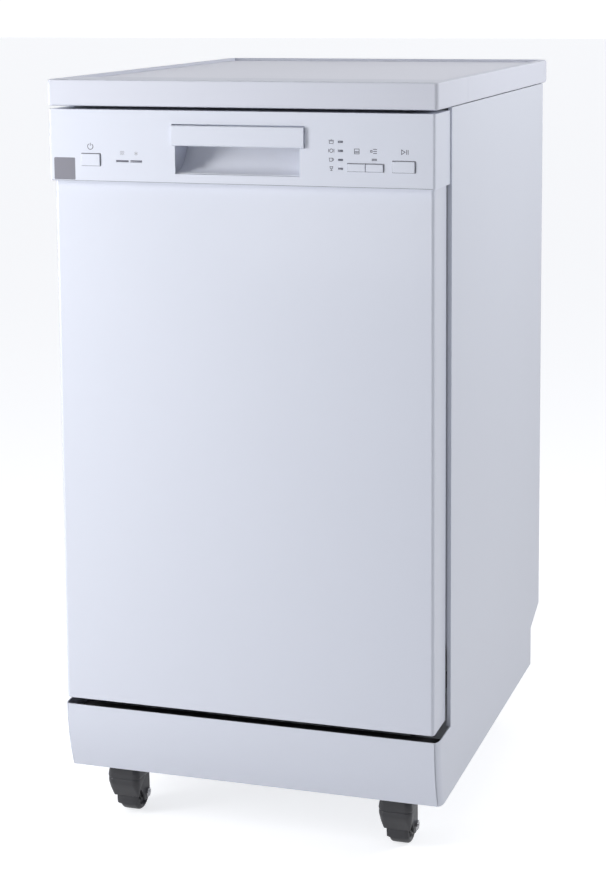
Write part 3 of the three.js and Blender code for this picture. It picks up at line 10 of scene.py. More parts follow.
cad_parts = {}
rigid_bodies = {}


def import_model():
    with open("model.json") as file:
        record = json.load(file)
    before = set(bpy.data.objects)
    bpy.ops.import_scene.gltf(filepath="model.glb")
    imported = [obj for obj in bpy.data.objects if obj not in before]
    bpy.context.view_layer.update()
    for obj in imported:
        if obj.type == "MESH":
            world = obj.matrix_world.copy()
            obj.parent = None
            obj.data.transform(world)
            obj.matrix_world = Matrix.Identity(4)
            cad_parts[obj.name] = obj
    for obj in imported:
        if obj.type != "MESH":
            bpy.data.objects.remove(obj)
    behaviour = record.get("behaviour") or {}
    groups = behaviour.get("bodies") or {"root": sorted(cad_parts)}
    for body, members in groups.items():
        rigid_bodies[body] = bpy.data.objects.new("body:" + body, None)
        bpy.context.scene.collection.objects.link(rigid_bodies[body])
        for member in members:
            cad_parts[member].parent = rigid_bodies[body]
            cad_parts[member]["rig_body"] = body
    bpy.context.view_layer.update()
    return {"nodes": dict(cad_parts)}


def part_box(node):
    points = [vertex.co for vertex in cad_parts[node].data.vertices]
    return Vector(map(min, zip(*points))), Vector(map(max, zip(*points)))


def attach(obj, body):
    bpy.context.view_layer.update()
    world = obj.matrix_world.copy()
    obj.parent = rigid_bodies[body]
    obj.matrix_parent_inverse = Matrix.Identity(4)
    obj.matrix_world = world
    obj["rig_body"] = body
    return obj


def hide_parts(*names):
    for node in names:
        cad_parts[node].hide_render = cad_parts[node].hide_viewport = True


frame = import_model()

bl_info = {
    "name": "Portable Dishwasher",
    "version": (1, 0, 0),
    "blender": (4, 5, 0),
    "location": "3D View > Sidebar > Dishwasher",
    "description": "Dresses the packed frame of a portable dishwasher on casters",
    "category": "Object",
}

# Lengths in this file are millimetres unless a name or a comment says otherwise. Heights
# are measured from the floor, and depths from the worktop's front face, which is at
# FRONT_FACE in the frame.
MM = 0.001
FRONT_FACE = -302.5
CONSOLE_FACE = -2.0
LINER_FACE = 62.0
REAR_FACE = 572.5
SOFT_ANGLE = math.radians(38)  # a surface that bends less than this is shaded smooth
FLAT_ANGLE = math.radians(0.6)  # and one that bends less than this is made one face
INK = 0.08  # thickness of printed marks
SIDES = (("left", -1), ("right", 1))


# ---- settings --------------------------------------------------------------------------


def colour_setting(name, description, value):
    return FloatVectorProperty(
        name=name, description=description, subtype="COLOR", size=3,
        min=0.0, max=1.0, default=value,
    )


def length_setting(name, description, value):
    """A length in metres, given here in millimetres."""
    return FloatProperty(
        name=name, description=description, default=value * MM, min=0.0,
        subtype="DISTANCE", unit="LENGTH",
    )


class DishwasherColours(bpy.types.PropertyGroup):
    """Colours of the finishes that show most."""

    enamel: colour_setting("Enamel", "Painted sheet of the door and cabinet", (0.70, 0.73, 0.82))
    console: colour_setting("Console", "Plastic of the control console", (0.70, 0.73, 0.82))
    trim: colour_setting("Worktop trim", "Plastic round the worktop", (0.67, 0.69, 0.77))
    board: colour_setting("Worktop board", "Laminate of the worktop", (0.71, 0.72, 0.80))
    wheel: colour_setting("Casters", "Forks and wheels", (0.036, 0.036, 0.041))
    ink: colour_setting("Printed marks", "Icons on the console", (0.12, 0.12, 0.15))
    pale_ink: colour_setting("Pale marks", "Icons over the lights", (0.40, 0.40, 0.44))


class DishwasherSizes(bpy.types.PropertyGroup):
    """Sizes of the added details."""

    wire: length_setting("Wire", "Thickness of the rack wires", 3.4)
    rim_wire: length_setting("Rim wire", "Thickness of the racks' rim wires", 4.6)
    tine_wire: length_setting("Tine wire", "Thickness of the tines", 2.8)
    screw: length_setting("Screw head", "Diameter of the cabinet screws", 8.0)
    wires_across: IntProperty(
        name="Wires across", description="Wires across each rack", default=9, min=3, max=24,
    )
    wires_along: IntProperty(
        name="Wires along", description="Wires along each rack", default=9, min=3, max=24,
    )


# ---- shapes ----------------------------------------------------------------------------


def at(x, y, z):
    """A point given in millimetres, in the frame's metres."""
    return Vector((x * MM, (y + FRONT_FACE) * MM, z * MM))


def spread(first, last, count):
    return [first + (last - first) * i / (count - 1) for i in range(count)]


def span(side, near, far, middle=0.0):
    """Low and high end of what lies from near to far on one side of the middle."""
    return sorted((middle + side * near, middle + side * far))


def arc(u, v, radius, start, end, steps):
    """Points round (u, v), with the angles in degrees."""
    points = []
    for angle in spread(start, end, steps + 1):
        turn = math.radians(angle)
        points.append((u + radius * math.cos(turn), v + radius * math.sin(turn)))
    return points


def rounded(u0, u1, v0, v1, radius, steps=5):
    """A rectangle with round corners."""
    corners = [
        (u1 - radius, v0 + radius, -90), (u1 - radius, v1 - radius, 0),
        (u0 + radius, v1 - radius, 90), (u0 + radius, v0 + radius, 180),
    ]
    outline = []
    for u, v, start in corners:
        outline += arc(u, v, radius, start, start + 90, steps)
    return outline


def band(points, width, closed):
    """The two edges of a band of even width along a path."""
    left, right = [], []
    count = len(points)
    for i, point in enumerate(points):
        steps = []
        if closed or i > 0:
            steps.append((Vector(point) - Vector(points[i - 1])).normalized())
        if closed or i < count - 1:
            steps.append((Vector(points[(i + 1) % count]) - Vector(point)).normalized())
        along = sum(steps, Vector((0.0, 0.0))).normalized()
        reach = 0.5 * width / max(0.4, along.dot(steps[0]))
        across = Vector((-along.y, along.x)) * reach
        left.append(tuple(Vector(point) + across))
        right.append(tuple(Vector(point) - across))
    return left, right


class Form:
    """Gathers closed shapes in one mesh and hands them out as a piece."""

    def __init__(self):
        self.mesh = bmesh.new()

    def ring(self, axis, outline, w):
        """The outline's points at one place along the axis."""
        ring = []
        for u, v in outline:
            place = {"x": (w, u, v), "y": (u, w, v), "z": (u, v, w)}[axis]
            ring.append(self.mesh.verts.new(at(*place)))
        return ring

    def skin(self, rings, closed=False):
        """Faces between rings of as many points; the ends are capped unless closed."""
        faces = []
        count = len(rings[0])
        for k in range(len(rings) if closed else len(rings) - 1):
            near, far = rings[k], rings[(k + 1) % len(rings)]
            for i in range(count):
                j = (i + 1) % count
                faces.append(self.mesh.faces.new((near[i], near[j], far[j], far[i])))
        if not closed:
            faces += [self.mesh.faces.new(rings[0][::-1]), self.mesh.faces.new(rings[-1])]
        bmesh.ops.recalc_face_normals(self.mesh, faces=faces)
        return self

    def prism(self, axis, outline, low, high):
        return self.skin([self.ring(axis, outline, w) for w in (low, high)])

    def tube(self, axis, outer, inner, low, high):
        """A wall between two outlines with as many points."""
        walls = ((outer, low), (outer, high), (inner, high), (inner, low))
        return self.skin([self.ring(axis, outline, w) for outline, w in walls], closed=True)

    def line(self, axis, points, width, low, high, closed=False):
        left, right = band(points, width, closed)
        if closed:
            return self.tube(axis, left, right, low, high)
        return self.prism(axis, left + right[::-1], low, high)

    def revolve(self, axis, centre, profile, steps=32):
        """Turns (radius, height) points about an axis; a radius of 0 closes the end."""
        rings = []
        for radius, w in profile:
            circle = arc(*centre, radius, 0, 360, steps)[:-1] if radius else [centre]
            rings.append(self.ring(axis, circle, w))
        open_ends = [ring for ring in (rings[0], rings[-1]) if len(ring) > 1]
        faces = []
        for near, far in zip(rings, rings[1:]):
            for i in range(steps):
                j = (i + 1) % steps
                corners = [near[i % len(near)], near[j % len(near)],
                           far[j % len(far)], far[i % len(far)]]
                faces.append(self.mesh.faces.new(list(dict.fromkeys(corners))))
        if profile[0] == profile[-1]:
            bmesh.ops.remove_doubles(self.mesh, verts=rings[0] + rings[-1], dist=1e-7)
        else:
            faces += [self.mesh.faces.new(ring) for ring in open_ends]
        kept = [face for face in faces if face.is_valid]
        bmesh.ops.recalc_face_normals(self.mesh, faces=kept)
        return self

    def rod(self, axis, u, v, radius, low, high, steps=24):
        return self.revolve(axis, (u, v), [(radius, low), (radius, high)], steps)

    def piece(self, name, look, body, slot, replaces=(), bevel=0.0):
        mesh = bpy.data.meshes.new(name)
        self.mesh.to_mesh(mesh)
        self.mesh.free()
        settle(new_object(name, mesh), look, body, replaces, bevel)


def new_object(name, data):
    obj = bpy.data.objects.new(name, data)
    bpy.context.scene.collection.objects.link(obj)
    return obj


def bake(obj):
    """Turns an object with modifiers into a plain mesh."""
    bpy.context.view_layer.update()
    graph = bpy.context.evaluated_depsgraph_get()
    mesh = bpy.data.meshes.new_from_object(
        obj.evaluated_get(graph), preserve_all_data_layers=True, depsgraph=graph,
    )
    obj.modifiers.clear()
    obj.data = mesh
    mesh.name = obj.name


def settle(obj, look, body, replaces=(), bevel=0.0, segments=3):
    """Softens the edges, gives the finish named by look and hangs the piece on its body."""
    if bevel:
        edge = obj.modifiers.new("edges", "BEVEL")
        edge.width = bevel * MM
        edge.segments = segments
        edge.limit_method = "ANGLE"
        edge.angle_limit = SOFT_ANGLE
        bake(obj)
    obj.data.shade_smooth()
    obj.data.set_sharp_from_angle(angle=SOFT_ANGLE)
    weight = obj.modifiers.new("normals", "WEIGHTED_NORMAL")
    weight.keep_sharp = True
    bake(obj)
    obj.data.materials.clear()
    obj.data.materials.append(finish(look))
    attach(obj, body)
    if replaces:
        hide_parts(*replaces)


def dress(*nodes, look, bevel=0.0, segments=2):
    """A merged and softened copy of each CAD node stands for the node."""
    for node in nodes:
        source = frame["nodes"][node]
        merged = bmesh.new()
        merged.from_mesh(source.data)
        bmesh.ops.remove_doubles(merged, verts=merged.verts, dist=1e-6)
        bmesh.ops.dissolve_limit(
            merged, angle_limit=FLAT_ANGLE, verts=merged.verts, edges=merged.edges,
        )
        mesh = bpy.data.meshes.new(node + "_shape")
        merged.to_mesh(mesh)
        merged.free()
        obj = new_object(node + "_shape", mesh)
        settle(obj, look, source["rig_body"], (node,), bevel, segments)


# ---- node trees ------------------------------------------------------------------------


def add_node(tree, kind, links=None, **settings):
    """A node; links gives what feeds each input, a value or another node's output."""
    node = tree.nodes.new(kind)
    for key, value in settings.items():
        setattr(node, key, value)
    for label, source in (links or {}).items():
        if isinstance(source, bpy.types.NodeSocket):
            tree.links.new(source, node.inputs[label])
        else:
            node.inputs[label].default_value = source
    return node


class Group:
    """A node group; each input is its kind of socket and, where it has one, its default."""

    def __init__(self, name, family, inputs, outputs):
        self.tree = bpy.data.node_groups.new(name, family)
        face = self.tree.interface
        self.sockets = {}
        for label, (kind, *value) in inputs.items():
            made = face.new_socket(label, in_out="INPUT", socket_type="NodeSocket" + kind)
            self.sockets[label] = made.identifier
            if value:
                made.default_value = value[0]
        for label, kind in outputs.items():
            face.new_socket(label, in_out="OUTPUT", socket_type="NodeSocket" + kind)
        self.start = self.tree.nodes.new("NodeGroupInput")
        self.end = self.tree.nodes.new("NodeGroupOutput")

    def add(self, kind, links=None, **settings):
        return add_node(self.tree, kind, links, **settings)

    def given(self, label):
        return self.start.outputs[label]

    def give(self, label, source):
        self.tree.links.new(source, self.end.inputs[label])

    def math(self, operation, *values):
        node = self.add("ShaderNodeMath", dict(enumerate(values)), operation=operation)
        return node.outputs[0]


class Grower(Group):
    """A geometry node tree whose named inputs hold its sizes."""

    def __init__(self, name, **sizes):
        kinds = {"Geometry": "Geometry", **sizes, "Material": "Material"}
        inputs = {label: (kind,) for label, kind in kinds.items()}
        super().__init__(name, "GeometryNodeTree", inputs, {"Geometry": "Geometry"})

    def finish(self, geometry):
        """Ends in Realize Instances and Set Material."""
        real = self.add("GeometryNodeRealizeInstances", {"Geometry": geometry})
        painted = self.add("GeometryNodeSetMaterial", {
            "Geometry": real.outputs["Geometry"], "Material": self.given("Material"),
        })
        self.give("Geometry", painted.outputs["Geometry"])
        return self


@functools.cache
def wire_tree():
    """Round wires along the edges of a mesh, with eased bends."""
    tree = Grower("bent_wires", Thickness="Float", Bend="Float", Sides="Int")
    curve = tree.add("GeometryNodeMeshToCurve", {"Mesh": tree.given("Geometry")})
    eased = tree.add("GeometryNodeFilletCurve", {
        "Curve": curve.outputs["Curve"], "Radius": tree.given("Bend"),
        "Limit Radius": True, "Count": 4,
    }, mode="POLY")
    section = tree.add("GeometryNodeCurvePrimitiveCircle", {
        "Radius": tree.math("MULTIPLY", tree.given("Thickness"), 0.5),
        "Resolution": tree.given("Sides"),
    })
    wires = tree.add("GeometryNodeCurveToMesh", {
        "Curve": eased.outputs["Curve"], "Profile Curve": section.outputs["Curve"],
        "Fill Caps": True,
    })
    return tree.finish(wires.outputs["Mesh"])


HEAD_TAPER = 0.72  # a head's top radius as a share of its radius
SLOT_LIFT = 1.4  # middle of the cross slot as a share of the head's height


@functools.cache
def stud_tree():
    """A small head with a cross slot on every point, its axis along the direction."""
    tree = Grower("turned_heads", Radius="Float", Height="Float", Direction="Vector",
                  Sides="Int", Slot="Float")
    radius, height, slot = (tree.given(label) for label in ("Radius", "Height", "Slot"))
    head = tree.add("GeometryNodeMeshCone", {
        "Vertices": tree.given("Sides"), "Radius Bottom": radius, "Depth": height,
        "Radius Top": tree.math("MULTIPLY", radius, HEAD_TAPER),
    })
    lift = tree.add("ShaderNodeCombineXYZ", {"Z": tree.math("MULTIPLY", height, SLOT_LIFT)})
    cut = tree.add("GeometryNodeMeshBoolean", {"Mesh 1": head.outputs["Mesh"]},
                   operation="DIFFERENCE")
    for x, y in ((radius, slot), (slot, radius)):
        size = tree.add("ShaderNodeCombineXYZ", {"X": x, "Y": y, "Z": height})
        bar = tree.add("GeometryNodeMeshCube", {"Size": size.outputs["Vector"]})
        raised = tree.add("GeometryNodeTransform", {
            "Geometry": bar.outputs["Mesh"], "Translation": lift.outputs["Vector"],
        })
        tree.tree.links.new(raised.outputs["Geometry"], cut.inputs["Mesh 2"])
    turn = tree.add("FunctionNodeAlignRotationToVector", {"Vector": tree.given("Direction")},
                    axis="Z")
    placed = tree.add("GeometryNodeInstanceOnPoints", {
        "Points": tree.given("Geometry"), "Instance": cut.outputs["Mesh"],
        "Rotation": turn.outputs["Rotation"],
    })
    return tree.finish(placed.outputs["Instances"])


@functools.cache
def bar_tree():
    """A small bar on every point."""
    tree = Grower("bars", Size="Vector")
    bar = tree.add("GeometryNodeMeshCube", {"Size": tree.given("Size")})
    placed = tree.add("GeometryNodeInstanceOnPoints", {
        "Points": tree.given("Geometry"), "Instance": bar.outputs["Mesh"],
    })
    return tree.finish(placed.outputs["Instances"])


def grown(name, tree, paths, look, body, slot, replaces=(), **inputs):
    """Runs a tree on paths, or on single points, and settles what it makes."""
    points, edges = [], []
    for path in paths:
        start = len(points)
        points += [at(*point) for point in path]
        edges += [(start + i, start + i + 1) for i in range(len(path) - 1)]
    seed = bpy.data.meshes.new(name)
    seed.from_pydata(points, edges, [])
    obj = new_object(name, seed)
    modifier = obj.modifiers.new("grow", "NODES")
    modifier.node_group = tree.tree
    for label, value in inputs.items():
        modifier[tree.sockets[label]] = value
    modifier[tree.sockets["Material"]] = finish(look)
    bake(obj)
    settle(obj, look, body, replaces)


# ---- surface effects shared by the finishes --------------------------------------------


class Effect(Group):
    """A shader node group that works on Object coordinates."""

    def __init__(self, name, inputs, outputs):
        super().__init__(name, "ShaderNodeTree", inputs, outputs)
        self.place = self.add("ShaderNodeTexCoord").outputs["Object"]

    def noise(self, **links):
        return self.add("ShaderNodeTexNoise", {"Vector": self.place, **links})

    def share(self, mask, amount):
        """How far a mask lies from its middle, times the input named amount."""
        return self.math("MULTIPLY", self.math("SUBTRACT", mask, 0.5), self.given(amount))

    def tint(self, share):
        """Puts out the given colour, brighter or darker by the share."""
        tinted = self.add("ShaderNodeHueSaturation", {
            "Color": self.given("Color"), "Value": self.math("ADD", share, 1.0),
        })
        self.give("Color", tinted.outputs["Color"])

    def roughen(self, share):
        self.give("Roughness", self.math("ADD", share, self.given("Roughness")))


@functools.cache
def tone_drift():
    """Slow, faint changes of colour over a large surface, and a speckle where asked."""
    effect = Effect("tone_drift", {
        "Color": ("Color", (0.8, 0.8, 0.8, 1)), "Drift": ("Float", 0.03),
        "Speckle": ("Float", 0.0), "Speckle Scale": ("Float", 900.0),
    }, {"Color": "Color"})
    slow = effect.noise(Scale=4.0, Detail=3.0)
    fine = effect.noise(Scale=effect.given("Speckle Scale"), Detail=2.0, Roughness=0.8)
    effect.tint(effect.math("ADD", effect.share(slow.outputs["Fac"], "Drift"),
                            effect.share(fine.outputs["Fac"], "Speckle")))
    return effect.tree


@functools.cache
def handling():
    """Faint wiped marks that change the gloss."""
    effect = Effect("handling", {
        "Roughness": ("Float", 0.4), "Amount": ("Float", 0.05), "Scale": ("Float", 14.0),
    }, {"Roughness": "Float"})
    place = effect.add("ShaderNodeMapping", {"Vector": effect.place, "Scale": (1.0, 1.0, 2.4)})
    marks = effect.noise(Vector=place.outputs["Vector"], Scale=effect.given("Scale"),
                         Detail=6.0, Roughness=0.62, Distortion=0.8)
    effect.roughen(effect.share(marks.outputs["Fac"], "Amount"))
    return effect.tree


@functools.cache
def relief():
    """Height of a grain: smooth waves of paint, or the pits of moulded plastic."""
    effect = Effect("relief", {
        "Wave Scale": ("Float", 260.0), "Wave": ("Float", 1.0),
        "Pit Scale": ("Float", 1400.0), "Pit": ("Float", 0.0),
    }, {"Height": "Float"})
    wave = effect.noise(Scale=effect.given("Wave Scale"), Detail=1.0)
    pits = effect.add("ShaderNodeTexVoronoi", {
        "Vector": effect.place, "Scale": effect.given("Pit Scale"),
    }, feature="SMOOTH_F1")
    effect.give("Height", effect.math(
        "ADD", effect.math("MULTIPLY", wave.outputs["Fac"], effect.given("Wave")),
        effect.math("MULTIPLY", pits.outputs["Distance"], effect.given("Pit")),
    ))
    return effect.tree


@functools.cache
def brushing():
    """Long fine scratches along one direction, for rolled and brushed sheet."""
    effect = Effect("brushing", {
        "Color": ("Color", (0.6, 0.6, 0.6, 1)), "Roughness": ("Float", 0.3),
        "Stretch": ("Vector", (900.0, 900.0, 12.0)), "Amount": ("Float", 0.12),
    }, {"Color": "Color", "Roughness": "Float", "Height": "Float"})
    place = effect.add("ShaderNodeVectorMath", {
        0: effect.place, 1: effect.given("Stretch"),
    }, operation="MULTIPLY")
    lines = effect.noise(Vector=place.outputs["Vector"], Scale=1.0, Detail=5.0, Roughness=0.7)
    share = effect.share(lines.outputs["Fac"], "Amount")
    effect.tint(share)
    effect.roughen(share)
    effect.give("Height", lines.outputs["Fac"])
    return effect.tree


@functools.cache
def spangle():
    """Crystals of zinc on galvanised sheet."""
    effect = Effect("spangle", {
        "Color": ("Color", (0.5, 0.5, 0.5, 1)), "Roughness": ("Float", 0.4),
        "Scale": ("Float", 90.0), "Amount": ("Float", 0.14),
    }, {"Color": "Color", "Roughness": "Float"})
    warp = effect.noise(Scale=60.0, Detail=2.0)
    bent = effect.add("ShaderNodeVectorMath", {
        0: warp.outputs["Color"], 1: (0.01, 0.01, 0.01), 2: effect.place,
    }, operation="MULTIPLY_ADD")
    crystals = effect.add("ShaderNodeTexVoronoi", {
        "Vector": bent.outputs["Vector"], "Scale": effect.given("Scale"),
    })
    grey = effect.add("ShaderNodeRGBToBW", {"Color": crystals.outputs["Color"]})
    share = effect.share(grey.outputs[0], "Amount")
    effect.tint(share)
    effect.roughen(share)
    return effect.tree


@functools.cache
def perforation():
    """Rows of small round holes across a level plate."""
    effect = Effect("perforation", {
        "Color": ("Color", (0.5, 0.5, 0.5, 1)), "Hole Color": ("Color", (0.02, 0.02, 0.02, 1)),
        "Pitch": ("Float", 0.003), "Hole": ("Float", 0.3),
    }, {"Color": "Color", "Height": "Float"})
    flat = effect.add("ShaderNodeVectorMath", {
        0: effect.place, 1: (1.0, 1.0, 0.0),
    }, operation="MULTIPLY")
    scaled = effect.add("ShaderNodeVectorMath", {
        0: flat.outputs["Vector"], "Scale": effect.math("DIVIDE", 1.0, effect.given("Pitch")),
    }, operation="SCALE")
    cell = effect.add("ShaderNodeVectorMath", {0: scaled.outputs["Vector"]}, operation="FRACTION")
    out = effect.add("ShaderNodeVectorMath", {
        0: cell.outputs["Vector"], 1: (0.5, 0.5, 0.0),
    }, operation="DISTANCE")
    solid = effect.math("GREATER_THAN", out.outputs["Value"], effect.given("Hole"))
    mix = effect.add("ShaderNodeMix", {
        "Factor": solid, 6: effect.given("Hole Color"), 7: effect.given("Color"),
    }, data_type="RGBA")
    effect.give("Color", mix.outputs[2])
    effect.give("Height", solid)
    return effect.tree


# ---- finishes --------------------------------------------------------------------------


class Finish:
    """One material: a Principled shader fed by the shared effects."""

    def __init__(self, name, colour, roughness, metallic=0.0, coat=0.0, shine=0.5):
        self.material = bpy.data.materials.new(name)
        self.material.use_nodes = True
        self.tree = self.material.node_tree
        self.shader = self.tree.nodes["Principled BSDF"]
        self.colour = (*colour, 1.0)
        self.roughness = roughness
        self.put("Base Color", self.colour)
        self.put("Roughness", roughness)
        self.put("Metallic", metallic)
        self.put("Coat Weight", coat)
        self.put("Coat Roughness", 0.12)
        self.put("Specular IOR Level", shine)

    def put(self, label, value):
        self.shader.inputs[label].default_value = value

    def effect(self, make_tree, feeds, **values):
        """Places a shared group; feeds names the shader's input for each of its outputs."""
        group = self.tree.nodes.new("ShaderNodeGroup")
        group.node_tree = make_tree()
        for label, value in values.items():
            group.inputs[label.replace("_", " ")].default_value = value
        for output, target in feeds.items():
            self.tree.links.new(group.outputs[output], self.shader.inputs[target])
        return group

    def bump(self, group, distance):
        """distance is the height of the relief in millimetres."""
        bump = self.tree.nodes.new("ShaderNodeBump")
        bump.inputs["Distance"].default_value = distance * MM
        self.tree.links.new(group.outputs["Height"], bump.inputs["Height"])
        self.tree.links.new(bump.outputs["Normal"], self.shader.inputs["Normal"])
        return self

    def drift(self, drift, speckle=0.0, scale=900.0):
        self.effect(tone_drift, {"Color": "Base Color"}, Color=self.colour, Drift=drift,
                    Speckle=speckle, Speckle_Scale=scale)
        return self

    def handled(self, amount, scale=14.0):
        self.effect(handling, {"Roughness": "Roughness"}, Roughness=self.roughness,
                    Amount=amount, Scale=scale)
        return self

    def grain(self, distance, **values):
        return self.bump(self.effect(relief, {}, **values), distance)

    def brushed(self, stretch, amount=0.12, distance=0.004):
        group = self.effect(brushing, {"Color": "Base Color", "Roughness": "Roughness"},
                            Color=self.colour, Roughness=self.roughness,
                            Stretch=(stretch[0], stretch[0], stretch[1]), Amount=amount)
        return self.bump(group, distance)

    def perforated(self, pitch, hole):
        """Holes every pitch millimetres; hole is their radius as a share of the pitch."""
        group = self.effect(perforation, {"Color": "Base Color"}, Color=self.colour,
                            Pitch=pitch * MM, Hole=hole)
        return self.bump(group, 0.15)

    def spangled(self):
        self.effect(spangle, {"Color": "Base Color", "Roughness": "Roughness"},
                    Color=self.colour, Roughness=self.roughness)
        return self


@functools.cache
def finishes():
    """Every material of the object, by the name that the pieces call it by."""
    colours = bpy.context.scene.dishwasher_colours
    moulded = {"Wave": 0.3, "Pit": 1.0}
    return {
        # painted sheet and outer plastic
        "enamel": Finish("white_enamel", colours.enamel, 0.34, coat=0.25)
        .drift(0.02).handled(0.05).grain(0.012, Wave_Scale=230.0),
        "console": Finish("console_plastic", colours.console, 0.36)
        .drift(0.015).handled(0.05).grain(0.01, Wave_Scale=60.0, Pit_Scale=1700.0, **moulded),
        # paler copy of the console plastic: painted light on the back of the finger pocket
        "pocket": Finish("pocket_light_paint", (0.88, 0.90, 0.97), 0.4)
        .drift(0.015).grain(0.01, Wave_Scale=60.0, Pit_Scale=1700.0, **moulded),
        "trim": Finish("worktop_trim", colours.trim, 0.5, shine=0.3)
        .drift(0.02).handled(0.06)
        .grain(0.012, Wave_Scale=90.0, Wave=0.4, Pit=1.0, Pit_Scale=1300.0),
        "laminate": Finish("worktop_laminate", colours.board, 0.42, shine=0.3)
        .drift(0.02, 0.09, 1500.0).handled(0.1, 9.0)
        .grain(0.01, Wave_Scale=400.0, Wave=0.6, Pit=0.6, Pit_Scale=900.0),
        "caster": Finish("caster_plastic", colours.wheel, 0.34, coat=0.25)
        .drift(0.08, 0.08, 500.0).handled(0.08, 60.0)
        .grain(0.012, Wave_Scale=300.0, Wave=0.5, Pit=0.8, Pit_Scale=1500.0),
        # marks, lights and painted shadow lines on the console
        "ink": Finish("printed_mark", colours.ink, 0.5)
        .drift(0.12, 0.2, 2500.0).grain(0.004, Wave_Scale=900.0),
        "pale_ink": Finish("pale_mark", colours.pale_ink, 0.5)
        .drift(0.1, 0.1, 2500.0).grain(0.004, Wave_Scale=900.0),
        "label": Finish("grey_label", (0.22, 0.22, 0.26), 0.34, coat=0.4)
        .drift(0.05, 0.06, 1200.0).grain(0.004, Wave_Scale=300.0),
        "lens": Finish("light_window", (0.20, 0.21, 0.26), 0.2, coat=0.5)
        .drift(0.05).grain(0.004, Wave_Scale=500.0),
        # painted shadow round the buttons, darker than the console
        "dark_gap": Finish("button_gap", (0.16, 0.16, 0.19), 0.6)
        .drift(0.2).grain(0.01, Wave_Scale=400.0),
        # painted shadow line along the console's lower edge
        "seam": Finish("painted_seam_shadow", (0.24, 0.25, 0.30), 0.5)
        .drift(0.1).grain(0.004, Wave_Scale=400.0),
        # inside
        "plastic": Finish("moulded_plastic", (0.62, 0.65, 0.69), 0.45)
        .drift(0.03).handled(0.08, 25.0).grain(0.012, **moulded),
        "basket": Finish("basket_plastic", (0.42, 0.45, 0.50), 0.48)
        .drift(0.04).handled(0.08, 25.0).grain(0.014, **moulded),
        # also on the hinge brackets, where it paints shade
        "black": Finish("black_plastic", (0.035, 0.036, 0.04), 0.42)
        .drift(0.15).handled(0.1, 40.0).grain(0.014, **moulded),
        # near-black sheet: painted shade over the plinth
        "gap": Finish("gap_shade_sheet", (0.018, 0.018, 0.022), 0.7)
        .drift(0.2).grain(0.03, Wave_Scale=150.0, Pit=0.6),
        "rubber": Finish("sealing_rubber", (0.13, 0.14, 0.15), 0.62)
        .drift(0.1).handled(0.12, 50.0).grain(0.02, Wave_Scale=500.0, Pit=0.7),
        "wire": Finish("coated_wire", (0.50, 0.53, 0.58), 0.34, coat=0.3)
        .drift(0.06).handled(0.1, 40.0).grain(0.02, Wave_Scale=700.0),
        "board": Finish("circuit_board", (0.03, 0.14, 0.06), 0.42)
        .drift(0.3, 0.5, 260.0).grain(0.03, Wave_Scale=300.0, Pit=0.6, Pit_Scale=300.0),
        # bare metal; stretch is the scratches' rate across and up
        "stainless": Finish("brushed_stainless", (0.62, 0.63, 0.65), 0.3, metallic=1.0)
        .brushed((14.0, 1100.0)),
        "polished": Finish("polished_stainless", (0.66, 0.67, 0.69), 0.2, metallic=1.0)
        .brushed((500.0, 500.0), 0.08, 0.001),
        "chrome": Finish("plated_steel", (0.72, 0.72, 0.74), 0.16, metallic=1.0)
        .brushed((700.0, 700.0), 0.1, 0.003),
        "zinc": Finish("galvanised_steel", (0.52, 0.54, 0.57), 0.42, metallic=0.85)
        .spangled().grain(0.01, Wave_Scale=180.0),
        "mesh": Finish("filter_mesh", (0.56, 0.57, 0.6), 0.34, metallic=0.9)
        .perforated(3.0, 0.3),
    }


def finish(name):
    return finishes()[name].material


# ---- the stage -------------------------------------------------------------------------

# Where the photograph was taken from, in millimetres and degrees, and the lens for a
# picture 606 pixels wide and 896 high.
PICTURE_HEIGHT = 896
CAMERA_PLACE = (737.0, -2067.0, 982.0)
CAMERA_YAW = -17.77
CAMERA_PITCH = 7.58
CAMERA_ROLL = -0.41
FOCAL_PIXELS = 2024.0
SHIFT_PIXELS = -200.0
SENSOR = 36.0
FLOOR_REACH = 30.0  # half the floor's width, in metres
FLOOR_COLOUR = (0.5, 0.5, 0.51)
FLOOR_LIGHT = (0.97, 0.98, 1.0, 1.0)
FLOOR_GLOW = 0.74  # how bright the floor is to the camera
FLOOR_BOUNCE = 0.26  # how much of it lights the object
SKY_COLOUR = (0.94, 0.955, 1.0, 1.0)
SKY_DIM = 0.2
SKY_BRIGHT = 1.12
BACKDROP = (-0.305, 0.952, 0.0)  # direction of the bright part of the sky
BACKDROP_EDGE = (0.3, 0.8)  # the sky brightens over this stretch of closeness to it

# Each light's place and the point it looks at, in metres, its width, height and watts.
LIGHTS = {
    "key_light": ((-1.15, -1.15, 0.9), (-0.05, -0.3, 0.5), 0.5, 1.1, 20.3),
    "front_light": ((-0.5, -2.8, 0.6), (-0.05, -0.3, 0.75), 0.8, 0.6, 4.0),
    "side_light": ((1.5, 0.2, 1.25), (0.22, 0.05, 0.9), 0.6, 0.5, 13.0),
    "top_light": ((0.1, -0.2, 2.9), (0.0, 0.0, 0.8), 1.6, 1.6, 6.0),
}


def build_camera():
    camera = bpy.data.cameras.new("photo_camera")
    camera.sensor_width = SENSOR
    camera.lens = FOCAL_PIXELS * SENSOR / PICTURE_HEIGHT
    camera.shift_y = SHIFT_PIXELS / PICTURE_HEIGHT
    camera.clip_end = 50.0
    yaw, pitch, roll = (math.radians(a) for a in (CAMERA_YAW, CAMERA_PITCH, CAMERA_ROLL))
    ahead = Vector((math.sin(yaw) * math.cos(pitch), math.cos(yaw) * math.cos(pitch),
                    -math.sin(pitch)))
    right = Vector((math.cos(yaw), -math.sin(yaw), 0.0))
    up = right.cross(ahead)
    tilted_right = right * math.cos(roll) + up * math.sin(roll)
    tilted_up = up * math.cos(roll) - right * math.sin(roll)
    turn = Matrix((tilted_right, tilted_up, -ahead)).transposed()
    obj = new_object("photo_camera", camera)
    obj.matrix_world = Matrix.Translation(at(*CAMERA_PLACE)) @ turn.to_4x4()
    bpy.context.scene.camera = obj


